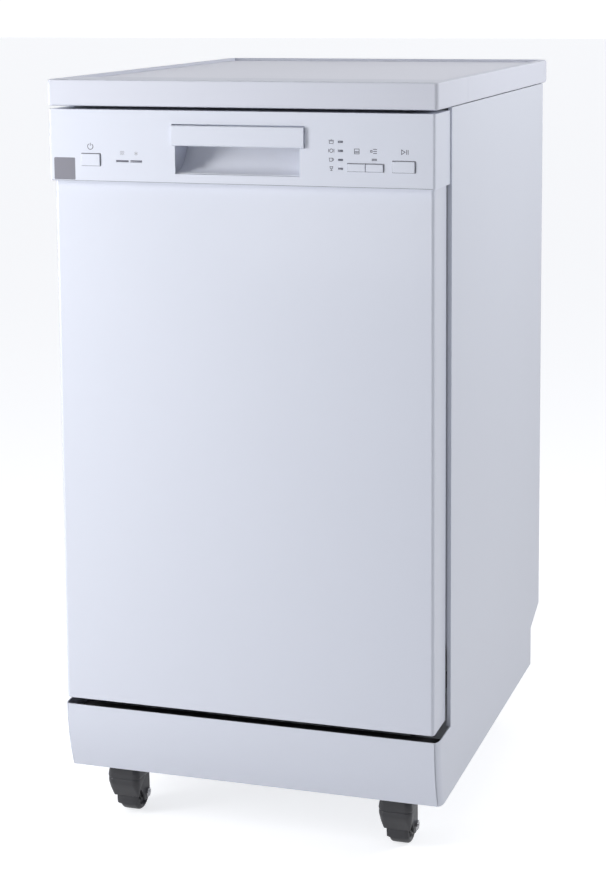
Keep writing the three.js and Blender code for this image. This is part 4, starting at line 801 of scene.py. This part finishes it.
def softbox(name, place, target, width, height, watts):
    light = bpy.data.lights.new(name, "AREA")
    light.shape = "RECTANGLE"
    light.size = width
    light.size_y = height
    light.energy = watts
    obj = new_object(name, light)
    turn = (Vector(target) - Vector(place)).to_track_quat("-Z", "Y")
    obj.matrix_world = Matrix.Translation(place) @ turn.to_matrix().to_4x4()


def build_floor():
    """A pale lit table that runs on to the horizon."""
    mesh = bpy.data.meshes.new("floor")
    corners = [(-1, -1), (1, -1), (1, 1), (-1, 1)]
    mesh.from_pydata([(u * FLOOR_REACH, v * FLOOR_REACH, 0) for u, v in corners], [],
                     [(0, 1, 2, 3)])
    paper = Finish("floor_paper", FLOOR_COLOUR, 0.9).drift(0.01)
    paper.put("Emission Color", FLOOR_LIGHT)
    ray = add_node(paper.tree, "ShaderNodeLightPath")
    glow = add_node(paper.tree, "ShaderNodeMapRange", {
        "Value": ray.outputs["Is Camera Ray"], "To Min": FLOOR_BOUNCE, "To Max": FLOOR_GLOW,
    })
    paper.tree.links.new(glow.outputs["Result"], paper.shader.inputs["Emission Strength"])
    mesh.materials.append(paper.material)
    new_object("floor", mesh)


def build_world():
    """Lights the object from behind it; to the camera it is bright all round."""
    world = bpy.data.worlds.new("studio")
    world.use_nodes = True
    tree = world.node_tree
    place = add_node(tree, "ShaderNodeTexCoord")
    ahead = add_node(tree, "ShaderNodeVectorMath", {
        0: place.outputs["Generated"], 1: BACKDROP,
    }, operation="DOT_PRODUCT")
    depth = add_node(tree, "ShaderNodeMapRange", {
        "Value": ahead.outputs["Value"], "From Min": BACKDROP_EDGE[0],
        "From Max": BACKDROP_EDGE[1], "To Min": SKY_DIM, "To Max": SKY_BRIGHT,
    })
    ray = add_node(tree, "ShaderNodeLightPath")
    seen = add_node(tree, "ShaderNodeMath", {
        0: ray.outputs["Is Camera Ray"], 1: SKY_BRIGHT,
    }, operation="MULTIPLY")
    strength = add_node(tree, "ShaderNodeMath", {
        0: depth.outputs["Result"], 1: seen.outputs[0],
    }, operation="MAXIMUM")
    back = tree.nodes["Background"]
    back.inputs["Color"].default_value = SKY_COLOUR
    tree.links.new(strength.outputs[0], back.inputs["Strength"])
    scene = bpy.context.scene
    scene.world = world
    scene.view_settings.view_transform = "Standard"


class BuildStage(bpy.types.Operator):
    """Makes the floor, the lights and the camera"""

    bl_idname = "dishwasher.build_stage"
    bl_label = "Stage"

    def execute(self, context):
        build_world()
        build_floor()
        for name, light in LIGHTS.items():
            softbox(name, *light)
        build_camera()
        return {"FINISHED"}


# ---- outside ---------------------------------------------------------------------------


class BuildWorktop(bpy.types.Operator):
    """Trim and laminate board of the worktop"""

    bl_idname = "dishwasher.build_worktop"
    bl_label = "Worktop"

    def execute(self, context):
        dress("worktop_front_trim", "worktop_rear_trim", look="trim", bevel=0.35)
        dress("worktop_board", look="laminate")
        return {"FINISHED"}


def screws(name, places, body, slot):
    """Cross-slotted screw heads that stand on a surface and face the rear."""
    size = bpy.context.scene.dishwasher_sizes.screw
    grown(name, stud_tree(), [[place] for place in places], "chrome", body, slot,
          Radius=size / 2, Height=1.4 * MM, Direction=(0, 1, 0), Sides=20, Slot=0.7 * MM)


# The upper side of the flap of painted shade over the plinth, as depths and heights, from front
# to rear.
FLAP = [(10.1, 146.4), (13.5, 146.4), (20, 142.3), (30, 137.4), (40, 134.8), (56, 134)]
FLAP_HALF = 216
FLAP_THICKNESS = 1.5
BACK_SHEET = REAR_FACE - 1.8  # the face that the back panel's screws stand on
BACK_COLUMNS, BACK_ROWS = (-180, -60, 60, 180), (150, 826)
# How far from the middle a column of screws stands; lowest, highest and number of screws.
HEM_ACROSS, HEM_SCREWS = 216, (170, 815, 6)
LINER_ACROSS, LINER_SCREWS = 189, (300, 740, 4)


class BuildCabinet(bpy.types.Operator):
    """Side panels, plinth, back and base"""

    bl_idname = "dishwasher.build_cabinet"
    bl_label = "Cabinet"

    def execute(self, context):
        dress("side_panel_left", "side_panel_right", "plinth_front", look="enamel", bevel=0.3)
        dress("back_panel", look="zinc", bevel=0.5)
        dress("base_tray", look="zinc", bevel=0.8)
        self.paint_plinth_shade()
        hems = [(s * HEM_ACROSS, REAR_FACE, z) for _, s in SIDES for z in spread(*HEM_SCREWS)]
        screws("hem_screws", hems, "root", "zinc_steel")
        panel = [(x, BACK_SHEET, z) for x in BACK_COLUMNS for z in BACK_ROWS]
        screws("back_screws", panel, "root", "zinc_steel")
        return {"FINISHED"}

    def paint_plinth_shade(self):
        """Near-black flap that closes the opening over the plinth, under the door's swing:
        painted shade for the dark inside behind it.
        """
        under = [(y, z - FLAP_THICKNESS) for y, z in reversed(FLAP)]
        Form().prism("x", FLAP + under, -FLAP_HALF, FLAP_HALF).piece(
            "plinth_shade_sheet", "gap", "root", "black_plastic",
        )


class BuildDoor(bpy.types.Operator):
    """Painted outer door, its steel liner, hinges and latch"""

    bl_idname = "dishwasher.build_door"
    bl_label = "Door"

    def execute(self, context):
        dress("door_panel", look="enamel", bevel=0.5)
        dress("inner_door", look="polished", bevel=0.4)
        # The hinge brackets take the black finish to paint the shade seen through the slit beside
        # the door.
        for side, _ in SIDES:
            dress("hinge_arm_" + side, look="black", bevel=0.4)
            dress("hinge_bracket_" + side, look="black", bevel=0.3)
        dress("latch_housing", look="black", bevel=0.4)
        dress("latch_claw", "latch_strike", look="zinc", bevel=0.3)
        edge = [(s * LINER_ACROSS, LINER_FACE, z)
                for _, s in SIDES for z in spread(*LINER_SCREWS)]
        screws("liner_screws", edge, "door", "stainless")
        return {"FINISHED"}


# Marks on the console: where each stands, its finish, the width of its lines, and its
# strokes as millimetres from there. True after a path closes it.
DISC = arc(0, 0, 1.9, 0, 360, 20)[:-1]
MARKS = {
    "power": (-172.1, 799.1, "ink", 0.75, [
        (arc(0, -0.2, 3.2, 122, 418, 22), False), ([(0, 0.6), (0, 3.8)], False),
    ]),
    "wave": (-134, 792, "pale_ink", 0.6, [
        ([(-2.4, -1.6), (-1.2, 0.2), (0, -1.6), (1.2, 0.2), (2.4, -1.6)], False),
        ([(-2.4, 0.8), (-1.2, 2.4), (0, 0.8), (1.2, 2.4), (2.4, 0.8)], False),
    ]),
    "star": (-117.5, 792, "pale_ink", 0.6, [
        ([(0, -2.3), (0, 2.3)], False), ([(-2, -1.15), (2, 1.15)], False),
        ([(-2, 1.15), (2, -1.15)], False),
    ]),
    "pot": (107.7, 809.1, "ink", 0.6, [
        ([(-2.3, 0.7), (-2.0, -1.9), (2.0, -1.9), (2.3, 0.7)], True),
        ([(-3.1, 1.6), (3.1, 1.6)], False), ([(0, 1.6), (0, 2.5)], False),
    ]),
    "plate": (107.7, 799.5, "ink", 0.6, [
        (DISC, True), ([(-3.0, -1.9), (-3.0, 1.9)], False), ([(3.0, -1.9), (3.0, 1.9)], False),
    ]),
    "cup": (107.7, 789.8, "ink", 0.6, [
        ([(-2.3, 1.7), (-1.8, -1.7), (0.9, -1.7), (1.4, 1.7)], True),
        (arc(1.4, 0.2, 1.2, -75, 80, 8), False),
    ]),
    "glass": (107.7, 780.2, "ink", 0.6, [
        ([(-1.6, 2.2), (-1.0, -0.1), (1.0, -0.1), (1.6, 2.2)], True),
        ([(0, -0.1), (0, -2.0)], False), ([(-1.3, -2.0), (1.3, -2.0)], False),
    ]),
    "half": (136.1, 799.2, "ink", 0.65, [
        ([(-2.6, -2.6), (2.6, -2.6), (2.6, 2.6), (-2.6, 2.6)], True),
        ([(-2.2, -1.2), (2.2, -1.2)], False), ([(-2.2, 0), (2.2, 0)], False),
    ]),
    "list": (155, 799.6, "ink", 0.7, [
        ([(-0.8, 2.2), (3.4, 2.2)], False), ([(-0.8, 0), (3.4, 0)], False),
        ([(-0.8, -2.2), (3.4, -2.2)], False),
        ([(-3.6, -0.9), (-1.9, -0.9), (-1.9, 0.9), (-3.6, 0.9)], True),
    ]),
    "go": (189, 799.3, "ink", 0.7, [
        ([(-3.6, -2.4), (-3.6, 2.4), (0.4, 0)], True),
        ([(1.9, -2.5), (1.9, 2.5)], False), ([(3.6, -2.5), (3.6, 2.5)], False),
    ]),
}
LABEL = (-216.2, -190.8, 761.5, 786.2)
LABEL_THICKNESS = 0.15

# Left, right, lower and upper edge of each button.
BUTTONS = {
    "power": (-182.6, -160.5, 777.6, 790.7), "program": (125.7, 145.6, 777.7, 785.7),
    "option": (146.2, 165.4, 777.7, 785.7), "start": (175.6, 200.1, 777.4, 789.3),
}
SHADE_START = 0.15  # from the button's edge to the dark line round it
SHADE_END = (0.5, 0.8, 0.45, 0.85)  # and to its outer edge, on those four sides
SHADE_DEPTHS = (CONSOLE_FACE - 0.04, CONSOLE_FACE + 1.6)

POCKET_BACK = ((0.5, 770.5), (26.8, 772.0), (38.0, 798.7))  # start, bend and end of its curve
POCKET_ENDS = (-71.4, 71.9)
POCKET_LIGHT_OFFSETS = (0.4, 1.1)  # how far its two faces stand off the curve

# Size of the painted shadow line along the console's lower edge.
SEAM_SHADOW_HALF = 219.3
SEAM_SHADOW_HEIGHTS = (760.35, 760.95)
SEAM_SHADOW_DEPTHS = (CONSOLE_FACE - 0.03, CONSOLE_FACE + 0.5)


class BuildConsole(bpy.types.Operator):
    """Control console, handle, buttons and lights"""

    bl_idname = "dishwasher.build_console"
    bl_label = "Console"

    def execute(self, context):
        dress("control_console", look="console")
        dress("handle_lever", look="console", bevel=0.5)
        for name, edges in BUTTONS.items():
            dress(name + "_button", look="console", bevel=0.5)
            self.gap(name, *edges)
        self.pocket()
        self.seam()
        dress("light_guide", look="lens")
        dress("control_board", look="board", bevel=0.4)
        self.marks()
        self.label()
        return {"FINISHED"}

    def pocket(self):
        """Sheet on the curved back of the finger pocket, paler than the console: painted light
        that reaches into the pocket.
        """
        start, bend, end = (Vector(point) for point in POCKET_BACK)
        near, far = [], []
        for t in spread(0.0, 1.0, 17):
            place = start * (1 - t) ** 2 + bend * 2 * t * (1 - t) + end * t * t
            along = ((bend - start) * (1 - t) + (end - bend) * t).normalized()
            inward = Vector((-along.y, along.x))
            near.append(tuple(place + inward * POCKET_LIGHT_OFFSETS[1]))
            far.append(tuple(place + inward * POCKET_LIGHT_OFFSETS[0]))
        Form().prism("x", near + far[::-1], *POCKET_ENDS).piece(
            "pocket_painted_light", "pocket", "door", "console_plastic",
        )

    def seam(self):
        """Painted shadow line along the console's lower edge, over the door."""
        y0, y1 = SEAM_SHADOW_DEPTHS
        outline = [(-SEAM_SHADOW_HALF, y0), (SEAM_SHADOW_HALF, y0), (SEAM_SHADOW_HALF, y1), (-SEAM_SHADOW_HALF, y1)]
        Form().prism("z", outline, *SEAM_SHADOW_HEIGHTS).piece(
            "console_shadow_line", "seam", "door", "console_plastic",
        )

    def gap(self, name, x0, x1, z0, z1):
        """Shade round a button, wider along the top and the right."""
        near = SHADE_START
        left, right, below, above = SHADE_END
        outer = rounded(x0 - left, x1 + right, z0 - below, z1 + above, 0.4, 2)
        inner = rounded(x0 - near, x1 + near, z0 - near, z1 + near, 0.1, 2)
        Form().tube("y", outer, inner, *SHADE_DEPTHS).piece(
            name + "_gap", "dark_gap", "door", "black_plastic",
        )

    def marks(self):
        for name, (x, z, ink, width, strokes) in MARKS.items():
            form = Form()
            for path, closed in strokes:
                placed = [(x + u, z + v) for u, v in path]
                form.line("y", placed, width, CONSOLE_FACE - INK, CONSOLE_FACE + INK, closed)
            form.piece("mark_" + name, ink, "door", "console_plastic")

    def label(self):
        """Plain grey plate at the console's left end."""
        plate = rounded(*LABEL, 1.2)
        Form().prism("y", plate, CONSOLE_FACE - LABEL_THICKNESS, CONSOLE_FACE + INK).piece(
            "grey_label", "label", "door", "console_plastic", bevel=0.1,
        )


CASTER_ROWS = (("front", 58.0), ("rear", 460.0))  # depth of the swivel axes
CASTER_ACROSS = 165.6
TRAIL = 17.0  # from the swivel axis back to the wheel's axle
AXLE = 21.0  # height of the axle
# Height, half width, front, rear and corner at each ring, from the swivel axis: the hood
# over the wheel, and its nose, which slopes back to the wheel's front.
HOOD_RINGS = [
    (45.0, 15.5, -15.0, 20.5, 8.0), (45.9, 17.8, -17.6, 22.8, 8.0),
    (48.2, 19.4, -20.0, 24.6, 8.0), (52.0, 20.0, -21.0, 25.2, 8.0),
    (57.0, 19.3, -20.5, 23.0, 8.0), (63.8, 18.0, -19.0, 18.8, 8.0),
]
NOSE_RINGS = [
    (24.0, 15.6, -8.8, -5.8, 1.4), (30.0, 17.0, -12.6, -5.2, 3.2),
    (36.0, 18.3, -16.4, -3.0, 5.5), (41.0, 19.2, -19.4, 2.0, 8.0),
    (45.0, 19.6, -20.9, 9.0, 8.0), (49.0, 19.6, -20.6, 9.0, 8.0),
]
TOP_PLATE = (63.6, 66.5)
TOP_PLATE_EDGES = (-20, 20, -21, 20)
COLLAR_TOP = 69.0
COLLAR_RADIUS = 11.0
STEM_RADIUS = 5.5
CHEEK_INNER, CHEEK_OUTER = 12.6, 15.8
CHEEK = [(-17.5, 51.5), (25.5, 51.5)] + arc(TRAIL, AXLE, 9.5, 0, -180, 14) + [(-3.4, 33.5)]
COVER_HALF = 12.9
COVER_ENDS = (200, 52)  # degrees round the axle, from its front over the top
COVER_OUTER, COVER_INNER = 24.7, 22.2
COVER_FALL = 1.9  # how much lower the crown is at its sides
# Radius and distance from the middle, from the wheel's bore to its tread.
WHEEL_HALF = [(3.3, 8.5), (6.5, 8.5), (7.2, 10.6), (9.4, 11.0), (10.4, 8.8), (14.2, 8.6),
              (15.6, 11.2), (17.0, 11.9)] + arc(16.6, 7.6, 4.3, 80, 0, 6)
NUT_RADIUS = 5.7
NUT_ENDS = (-0.5, 2.9)  # from the cheek's outside
# Radius and distance outwards from the cheek.
THREAD_END = [(2.6, 2.8), (2.6, 3.3), (2.0, 3.8), (0, 3.8)]
AXLE_HEAD = [(5.8, -0.4), (5.8, 0.8), (4.4, 1.8), (2.0, 2.3), (0, 2.4)]


class BuildCasters(bpy.types.Operator):
    """Swivel casters"""

    bl_idname = "dishwasher.build_casters"
    bl_label = "Casters"

    def execute(self, context):
        for row, y in CASTER_ROWS:
            for side, s in SIDES:
                place, x = f"{row}_{side}", s * CASTER_ACROSS
                self.fork(place, x, y)
                self.cover(place, x, y + TRAIL)
                self.wheel(place, x, y + TRAIL)
                self.axle(place, x, y + TRAIL)
        return {"FINISHED"}

    def fork(self, place, x, y):
        """Rounded hood on the swivel stem, with a cheek on each side of the wheel."""
        node = "caster_fork_" + place
        form = Form()
        for rings in (HOOD_RINGS, NOSE_RINGS):
            skin = []
            for z, half, front, rear, corner in rings:
                outline = rounded(x - half, x + half, y + front, y + rear, corner, 6)
                skin.append(form.ring("z", outline, z))
            form.skin(skin)
        plate = [(x + u, y + v) for u, v in rounded(*TOP_PLATE_EDGES, 3.0)]
        form.prism("z", plate, *TOP_PLATE)
        form.rod("z", x, y, COLLAR_RADIUS, TOP_PLATE[1] - 1, COLLAR_TOP)
        form.rod("z", x, y, STEM_RADIUS, TOP_PLATE[1] - 1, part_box(node)[1][2] / MM)
        cheek = [(y + v, z) for v, z in CHEEK]
        for _, s in SIDES:
            form.prism("x", cheek, *span(s, CHEEK_INNER, CHEEK_OUTER, x))
        form.piece(node + "_shape", "caster", "caster_" + place, "black_plastic", (node,), 0.8)

    def cover(self, place, x, y):
        """Crowned cover between the cheeks, over the front and top of the wheel."""
        form = Form()
        rings = []
        start, end = COVER_ENDS
        for across in spread(-1, 1, 9):
            crown = COVER_OUTER - COVER_FALL * across ** 4
            outline = arc(y, AXLE, crown, start, end, 30)
            outline += arc(y, AXLE, COVER_INNER, end, start, 30)
            rings.append(form.ring("x", outline, x + COVER_HALF * across))
        form.skin(rings).piece(
            "caster_cover_" + place, "caster", "caster_" + place, "black_plastic",
        )

    def wheel(self, place, x, y):
        """Rounded tread, dished sides and a ring round the hub."""
        turned = WHEEL_HALF + [(r, -w) for r, w in reversed(WHEEL_HALF)] + WHEEL_HALF[:1]
        Form().revolve("x", (y, AXLE), [(r, x + w) for r, w in turned], 56).piece(
            "wheel_" + place, "caster", "wheel_" + place, "caster_rubber",
            ("caster_wheel_" + place,),
        )

    def axle(self, place, x, y):
        """Hexagon nut with its thread end on the right, domed head on the left."""
        nut, head = x + CHEEK_OUTER, x - CHEEK_OUTER
        flats = arc(y, AXLE, NUT_RADIUS, 0, 360, 6)[:-1]
        form = Form().prism("x", flats, nut + NUT_ENDS[0], nut + NUT_ENDS[1])
        form.revolve("x", (y, AXLE), [(r, nut + w) for r, w in THREAD_END], 20)
        form.revolve("x", (y, AXLE), [(r, head - w) for r, w in AXLE_HEAD], 24)
        form.piece("axle_" + place, "chrome", "caster_" + place, "zinc_steel", bevel=0.3)


# ---- inside ----------------------------------------------------------------------------

ARM_CENTRE = 306  # depth of the spray arms' axis
JET_STEPS = (14, 34, 60, 92, 124)  # from the arm's tip inwards
JET_SHIFT = 6  # to either side of the arm's middle
INLET = (112, 88)  # across and height of the inlet's middle
INLET_ENDS = (523.0, 532.6)
BORE, ROOT, CREST = 11.0, 12.6, 13.7  # radii of the inlet's bore and thread
HALF_PITCH = 0.8


class BuildTub(bpy.types.Operator):
    """Steel tub, gasket, rails and the water parts in it"""

    bl_idname = "dishwasher.build_tub"
    bl_label = "Tub"

    def execute(self, context):
        dress("tub_wrapper", "tub_rear_wall", "tub_floor", "rack_rail_left", "rack_rail_right",
              look="stainless")
        dress("door_gasket", look="rubber", bevel=0.9, segments=3)
        dress("coarse_filter", look="mesh")
        dress("sump", "filter_cup", "inlet_valve", "riser_pipe", "upper_feed_pipe",
              look="plastic", bevel=0.5)
        dress("wash_pump", "drain_pump", "mains_gland", look="black", bevel=0.8)
        self.arm("lower_spray_arm", 231.3, 178)
        self.arm("upper_spray_arm", 527.0, 168)
        self.threads()
        return {"FINISHED"}

    def arm(self, node, top, half):
        """The arm with its jets, closer together towards the tips."""
        dress(node, look="plastic", bevel=1.6, segments=4)
        jets = [[(s * (half - step), ARM_CENTRE + s * (JET_SHIFT if i % 2 else -JET_SHIFT),
                  top + 0.4)]
                for _, s in SIDES for i, step in enumerate(JET_STEPS)]
        grown(node + "_jets", stud_tree(), jets, "plastic", node, "inner_plastic",
              Radius=3.4 * MM, Height=1.2 * MM, Direction=(0, 0, 1), Sides=16, Slot=1.1 * MM)

    def threads(self):
        """Ridges round the water inlet at the back."""
        start, end = INLET_ENDS
        outer = []
        for y in spread(start, end - 2 * HALF_PITCH, 5):
            outer += [(ROOT, y), (CREST, y + HALF_PITCH), (ROOT, y + 2 * HALF_PITCH)]
        profile = [(BORE, start), *outer, (BORE, end), (BORE, start)]
        Form().revolve("y", INLET, profile, 40).piece(
            "inlet_thread", "plastic", "root", "inner_plastic",
        )


# Each rack's half width, front, rear, floor and top, then its rows of tines: their depths,
# the first and last tine across, how many there are, and the height of their tips.
RACKS = {
    "lower_rack": (180, 97, 520, 258, 398, (165, 235, 305, 375, 445), (-140, 40, 10), 330),
    "upper_rack": (184, 97, 510, 558, 688, (160, 240, 340, 440), (-130, 130, 11), 610),
}
LAP = 2.9  # between the middles of two wires that cross
FIRST_WIRE = 34  # from the rack's edge
SIDE_WIRES = (14, 60)  # above the floor

RIM_START = (0, -0.2)  # across, where the rim wire's two ends meet
TINE_LEAN = 10  # from a tine's foot back to its tip
TINE_SPARE = 8  # of the wire they stand on, past the last tine

LEG_DEPTHS = (150, 455)
LEG = [(-5, 199.3), (5, 199.3), (16, 278), (-16, 278)]  # from the leg's middle; height
LEG_FACE, LEG_BACK = 181.9, 185.9
PIN_HEIGHT = 204.3
PIN_SHOULDER, PIN_END = 195.5, 197.0

RUNNER_ENDS = (104, 500)
# Near and far side, lower and upper edge of the runner and of its hollow.
RUNNER = (185.2, 200.0, 620.3, 635.7)
RUNNER_HOLLOW = (191.5, 196.5, 624.3, 631.7)

BASKET_FRONT = 130.2
BASKET_FLOOR = 262.9
BASKET_WALLS = (97.1, 166.9)
CELL_PITCH = 62.6
WINDOW_LEVELS = (33, 73)  # middles of the windows above the basket's floor
WALL_RIBS = (17, 43.4, 4)  # first and last rib in a cell, and how many
FLOOR_RIBS = (15, 45.4, 5)
FLOOR_RIB_LIFT = 1.1


class BuildRacks(bpy.types.Operator):
    """Racks, rack wheels and cutlery basket"""

    bl_idname = "dishwasher.build_racks"
    bl_label = "Racks"

    def execute(self, context):
        for name, sizes in RACKS.items():
            self.rack(context.scene.dishwasher_sizes, name, *sizes)
        dress(*(f"rack_wheel_{row}_{side}" for row in ("front", "rear") for side, _ in SIDES),
              look="plastic", bevel=1.0, segments=3)
        self.legs()
        self.runners()
        self.basket()
        return {"FINISHED"}

    def rack(self, sizes, name, half, front, rear, floor, top, tine_rows, tine_places, tip):
        """Bent wires crossing each other, tied by a thicker rim, with rows of tines."""
        wires = []
        for y in spread(front + FIRST_WIRE, rear - FIRST_WIRE, sizes.wires_across):
            wires.append([(-half, y, top), (-half, y, floor), (half, y, floor), (half, y, top)])
        for x in spread(FIRST_WIRE - half, half - FIRST_WIRE, sizes.wires_along):
            z = floor + LAP
            wires.append([(x, front, top), (x, front, z), (x, rear, z), (x, rear, top)])
        side, low, high = half + LAP, front - LAP, rear + LAP
        for _, s in SIDES:
            for lift in SIDE_WIRES:
                z = floor + lift
                wires.append([(s * side, low + 20, z), (s * side, high - 20, z)])
        for y in (low, high):
            z = floor + SIDE_WIRES[1]
            wires.append([(20 - side, y, z), (side - 20, y, z)])
        grown(name + "_wires", wire_tree(), wires, "wire", name, "coated_wire", (name,),
              Thickness=sizes.wire, Bend=9.0 * MM, Sides=10)
        corners = [(side, low), (side, high), (-side, high), (-side, low)]
        ends = [(x, low) for x in RIM_START]
        rim = [(x, y, top) for x, y in ends[:1] + corners + ends[1:]]
        grown(name + "_rim", wire_tree(), [rim], "wire", name, "coated_wire",
              Thickness=sizes.rim_wire, Bend=16.0 * MM, Sides=14)
        tines = []
        left, right, count = tine_places
        for y in tine_rows:
            z = floor + 2 * LAP
            tines.append([(left - TINE_SPARE, y, z), (right + TINE_SPARE, y, z)])
            for x in spread(left, right, count):
                tines.append([(x, y, floor + LAP), (x, y + TINE_LEAN, tip)])
        grown(name + "_tines", wire_tree(), tines, "wire", name, "coated_wire",
              Thickness=sizes.tine_wire, Bend=0.0, Sides=10)

    def legs(self):
        """Plastic legs clipped to the lower rack's sides, with the wheels' pins."""
        form = Form()
        for _, s in SIDES:
            for y in LEG_DEPTHS:
                leg = [(y + v, z) for v, z in LEG]
                form.prism("x", leg, *span(s, LEG_FACE, LEG_BACK))
                form.rod("x", y, PIN_HEIGHT, 3.0, *span(s, LEG_FACE, PIN_END))
                form.rod("x", y, PIN_HEIGHT, 5.0, *span(s, PIN_SHOULDER, PIN_END))
        form.piece("lower_rack_legs", "plastic", "lower_rack", "inner_plastic", bevel=0.5)

    def runners(self):
        """Plastic runners of the upper rack, in its rails."""
        form = Form()
        for _, s in SIDES:
            outer, inner = (
                rounded(*span(s, near, far), low, high, 0.8, 2)
                for near, far, low, high in (RUNNER, RUNNER_HOLLOW)
            )
            form.tube("y", outer, inner, *RUNNER_ENDS)
        form.piece("upper_rack_runners", "plastic", "upper_rack", "inner_plastic", bevel=0.4)

    def basket(self):
        """The basket with ribs across the windows in its walls and floor."""
        dress("cutlery_basket", look="basket", bevel=0.4)
        middle = sum(BASKET_WALLS) / 2
        upright, floor_ribs = [], []
        for cell in range(3):
            near = BASKET_FRONT + cell * CELL_PITCH
            for y in spread(*WALL_RIBS):
                upright += [[(x, near + y, BASKET_FLOOR + z)] for x in BASKET_WALLS
                            for z in WINDOW_LEVELS]
            for y in spread(*FLOOR_RIBS):
                floor_ribs.append([(middle, near + y, BASKET_FLOOR + FLOOR_RIB_LIFT)])
        for name, ribs, size in (("basket_ribs", upright, (2.0, 1.8, 27.0)),
                                 ("basket_floor_ribs", floor_ribs, (45.0, 1.8, 2.0))):
            grown(name, bar_tree(), ribs, "basket", "cutlery_basket", "inner_plastic",
                  Size=Vector(size) * MM)


class BuildDispenser(bpy.types.Operator):
    """Detergent and rinse aid dispenser"""

    bl_idname = "dishwasher.build_dispenser"
    bl_label = "Dispenser"

    def execute(self, context):
        dress("dispenser_body", "dispenser_lid", "rinse_aid_cap", look="plastic", bevel=0.6,
              segments=3)
        return {"FINISHED"}


# ---- add-on ----------------------------------------------------------------------------

OPERATORS = (
    BuildStage, BuildWorktop, BuildCabinet, BuildDoor, BuildConsole, BuildCasters, BuildTub,
    BuildRacks, BuildDispenser,
)


class DishwasherPanel(bpy.types.Panel):
    """Lists the steps and the settings they read"""

    bl_idname = "VIEW3D_PT_dishwasher"
    bl_label = "Dishwasher"
    bl_space_type = "VIEW_3D"
    bl_region_type = "UI"
    bl_category = "Dishwasher"

    def draw(self, context):
        for settings in (context.scene.dishwasher_colours, context.scene.dishwasher_sizes):
            for name in settings.__annotations__:
                self.layout.prop(settings, name)
        for operator in OPERATORS:
            self.layout.operator(operator.bl_idname)


CLASSES = (DishwasherColours, DishwasherSizes, *OPERATORS, DishwasherPanel)


def register():
    for cls in CLASSES:
        bpy.utils.register_class(cls)
    bpy.types.Scene.dishwasher_colours = PointerProperty(type=DishwasherColours)
    bpy.types.Scene.dishwasher_sizes = PointerProperty(type=DishwasherSizes)


def unregister():
    del bpy.types.Scene.dishwasher_sizes
    del bpy.types.Scene.dishwasher_colours
    for cls in reversed(CLASSES):
        bpy.utils.unregister_class(cls)


def main():
    register()
    for operator in OPERATORS:
        group, name = operator.bl_idname.split(".")
        getattr(getattr(bpy.ops, group), name)()


if __name__ == "__main__":
    main()
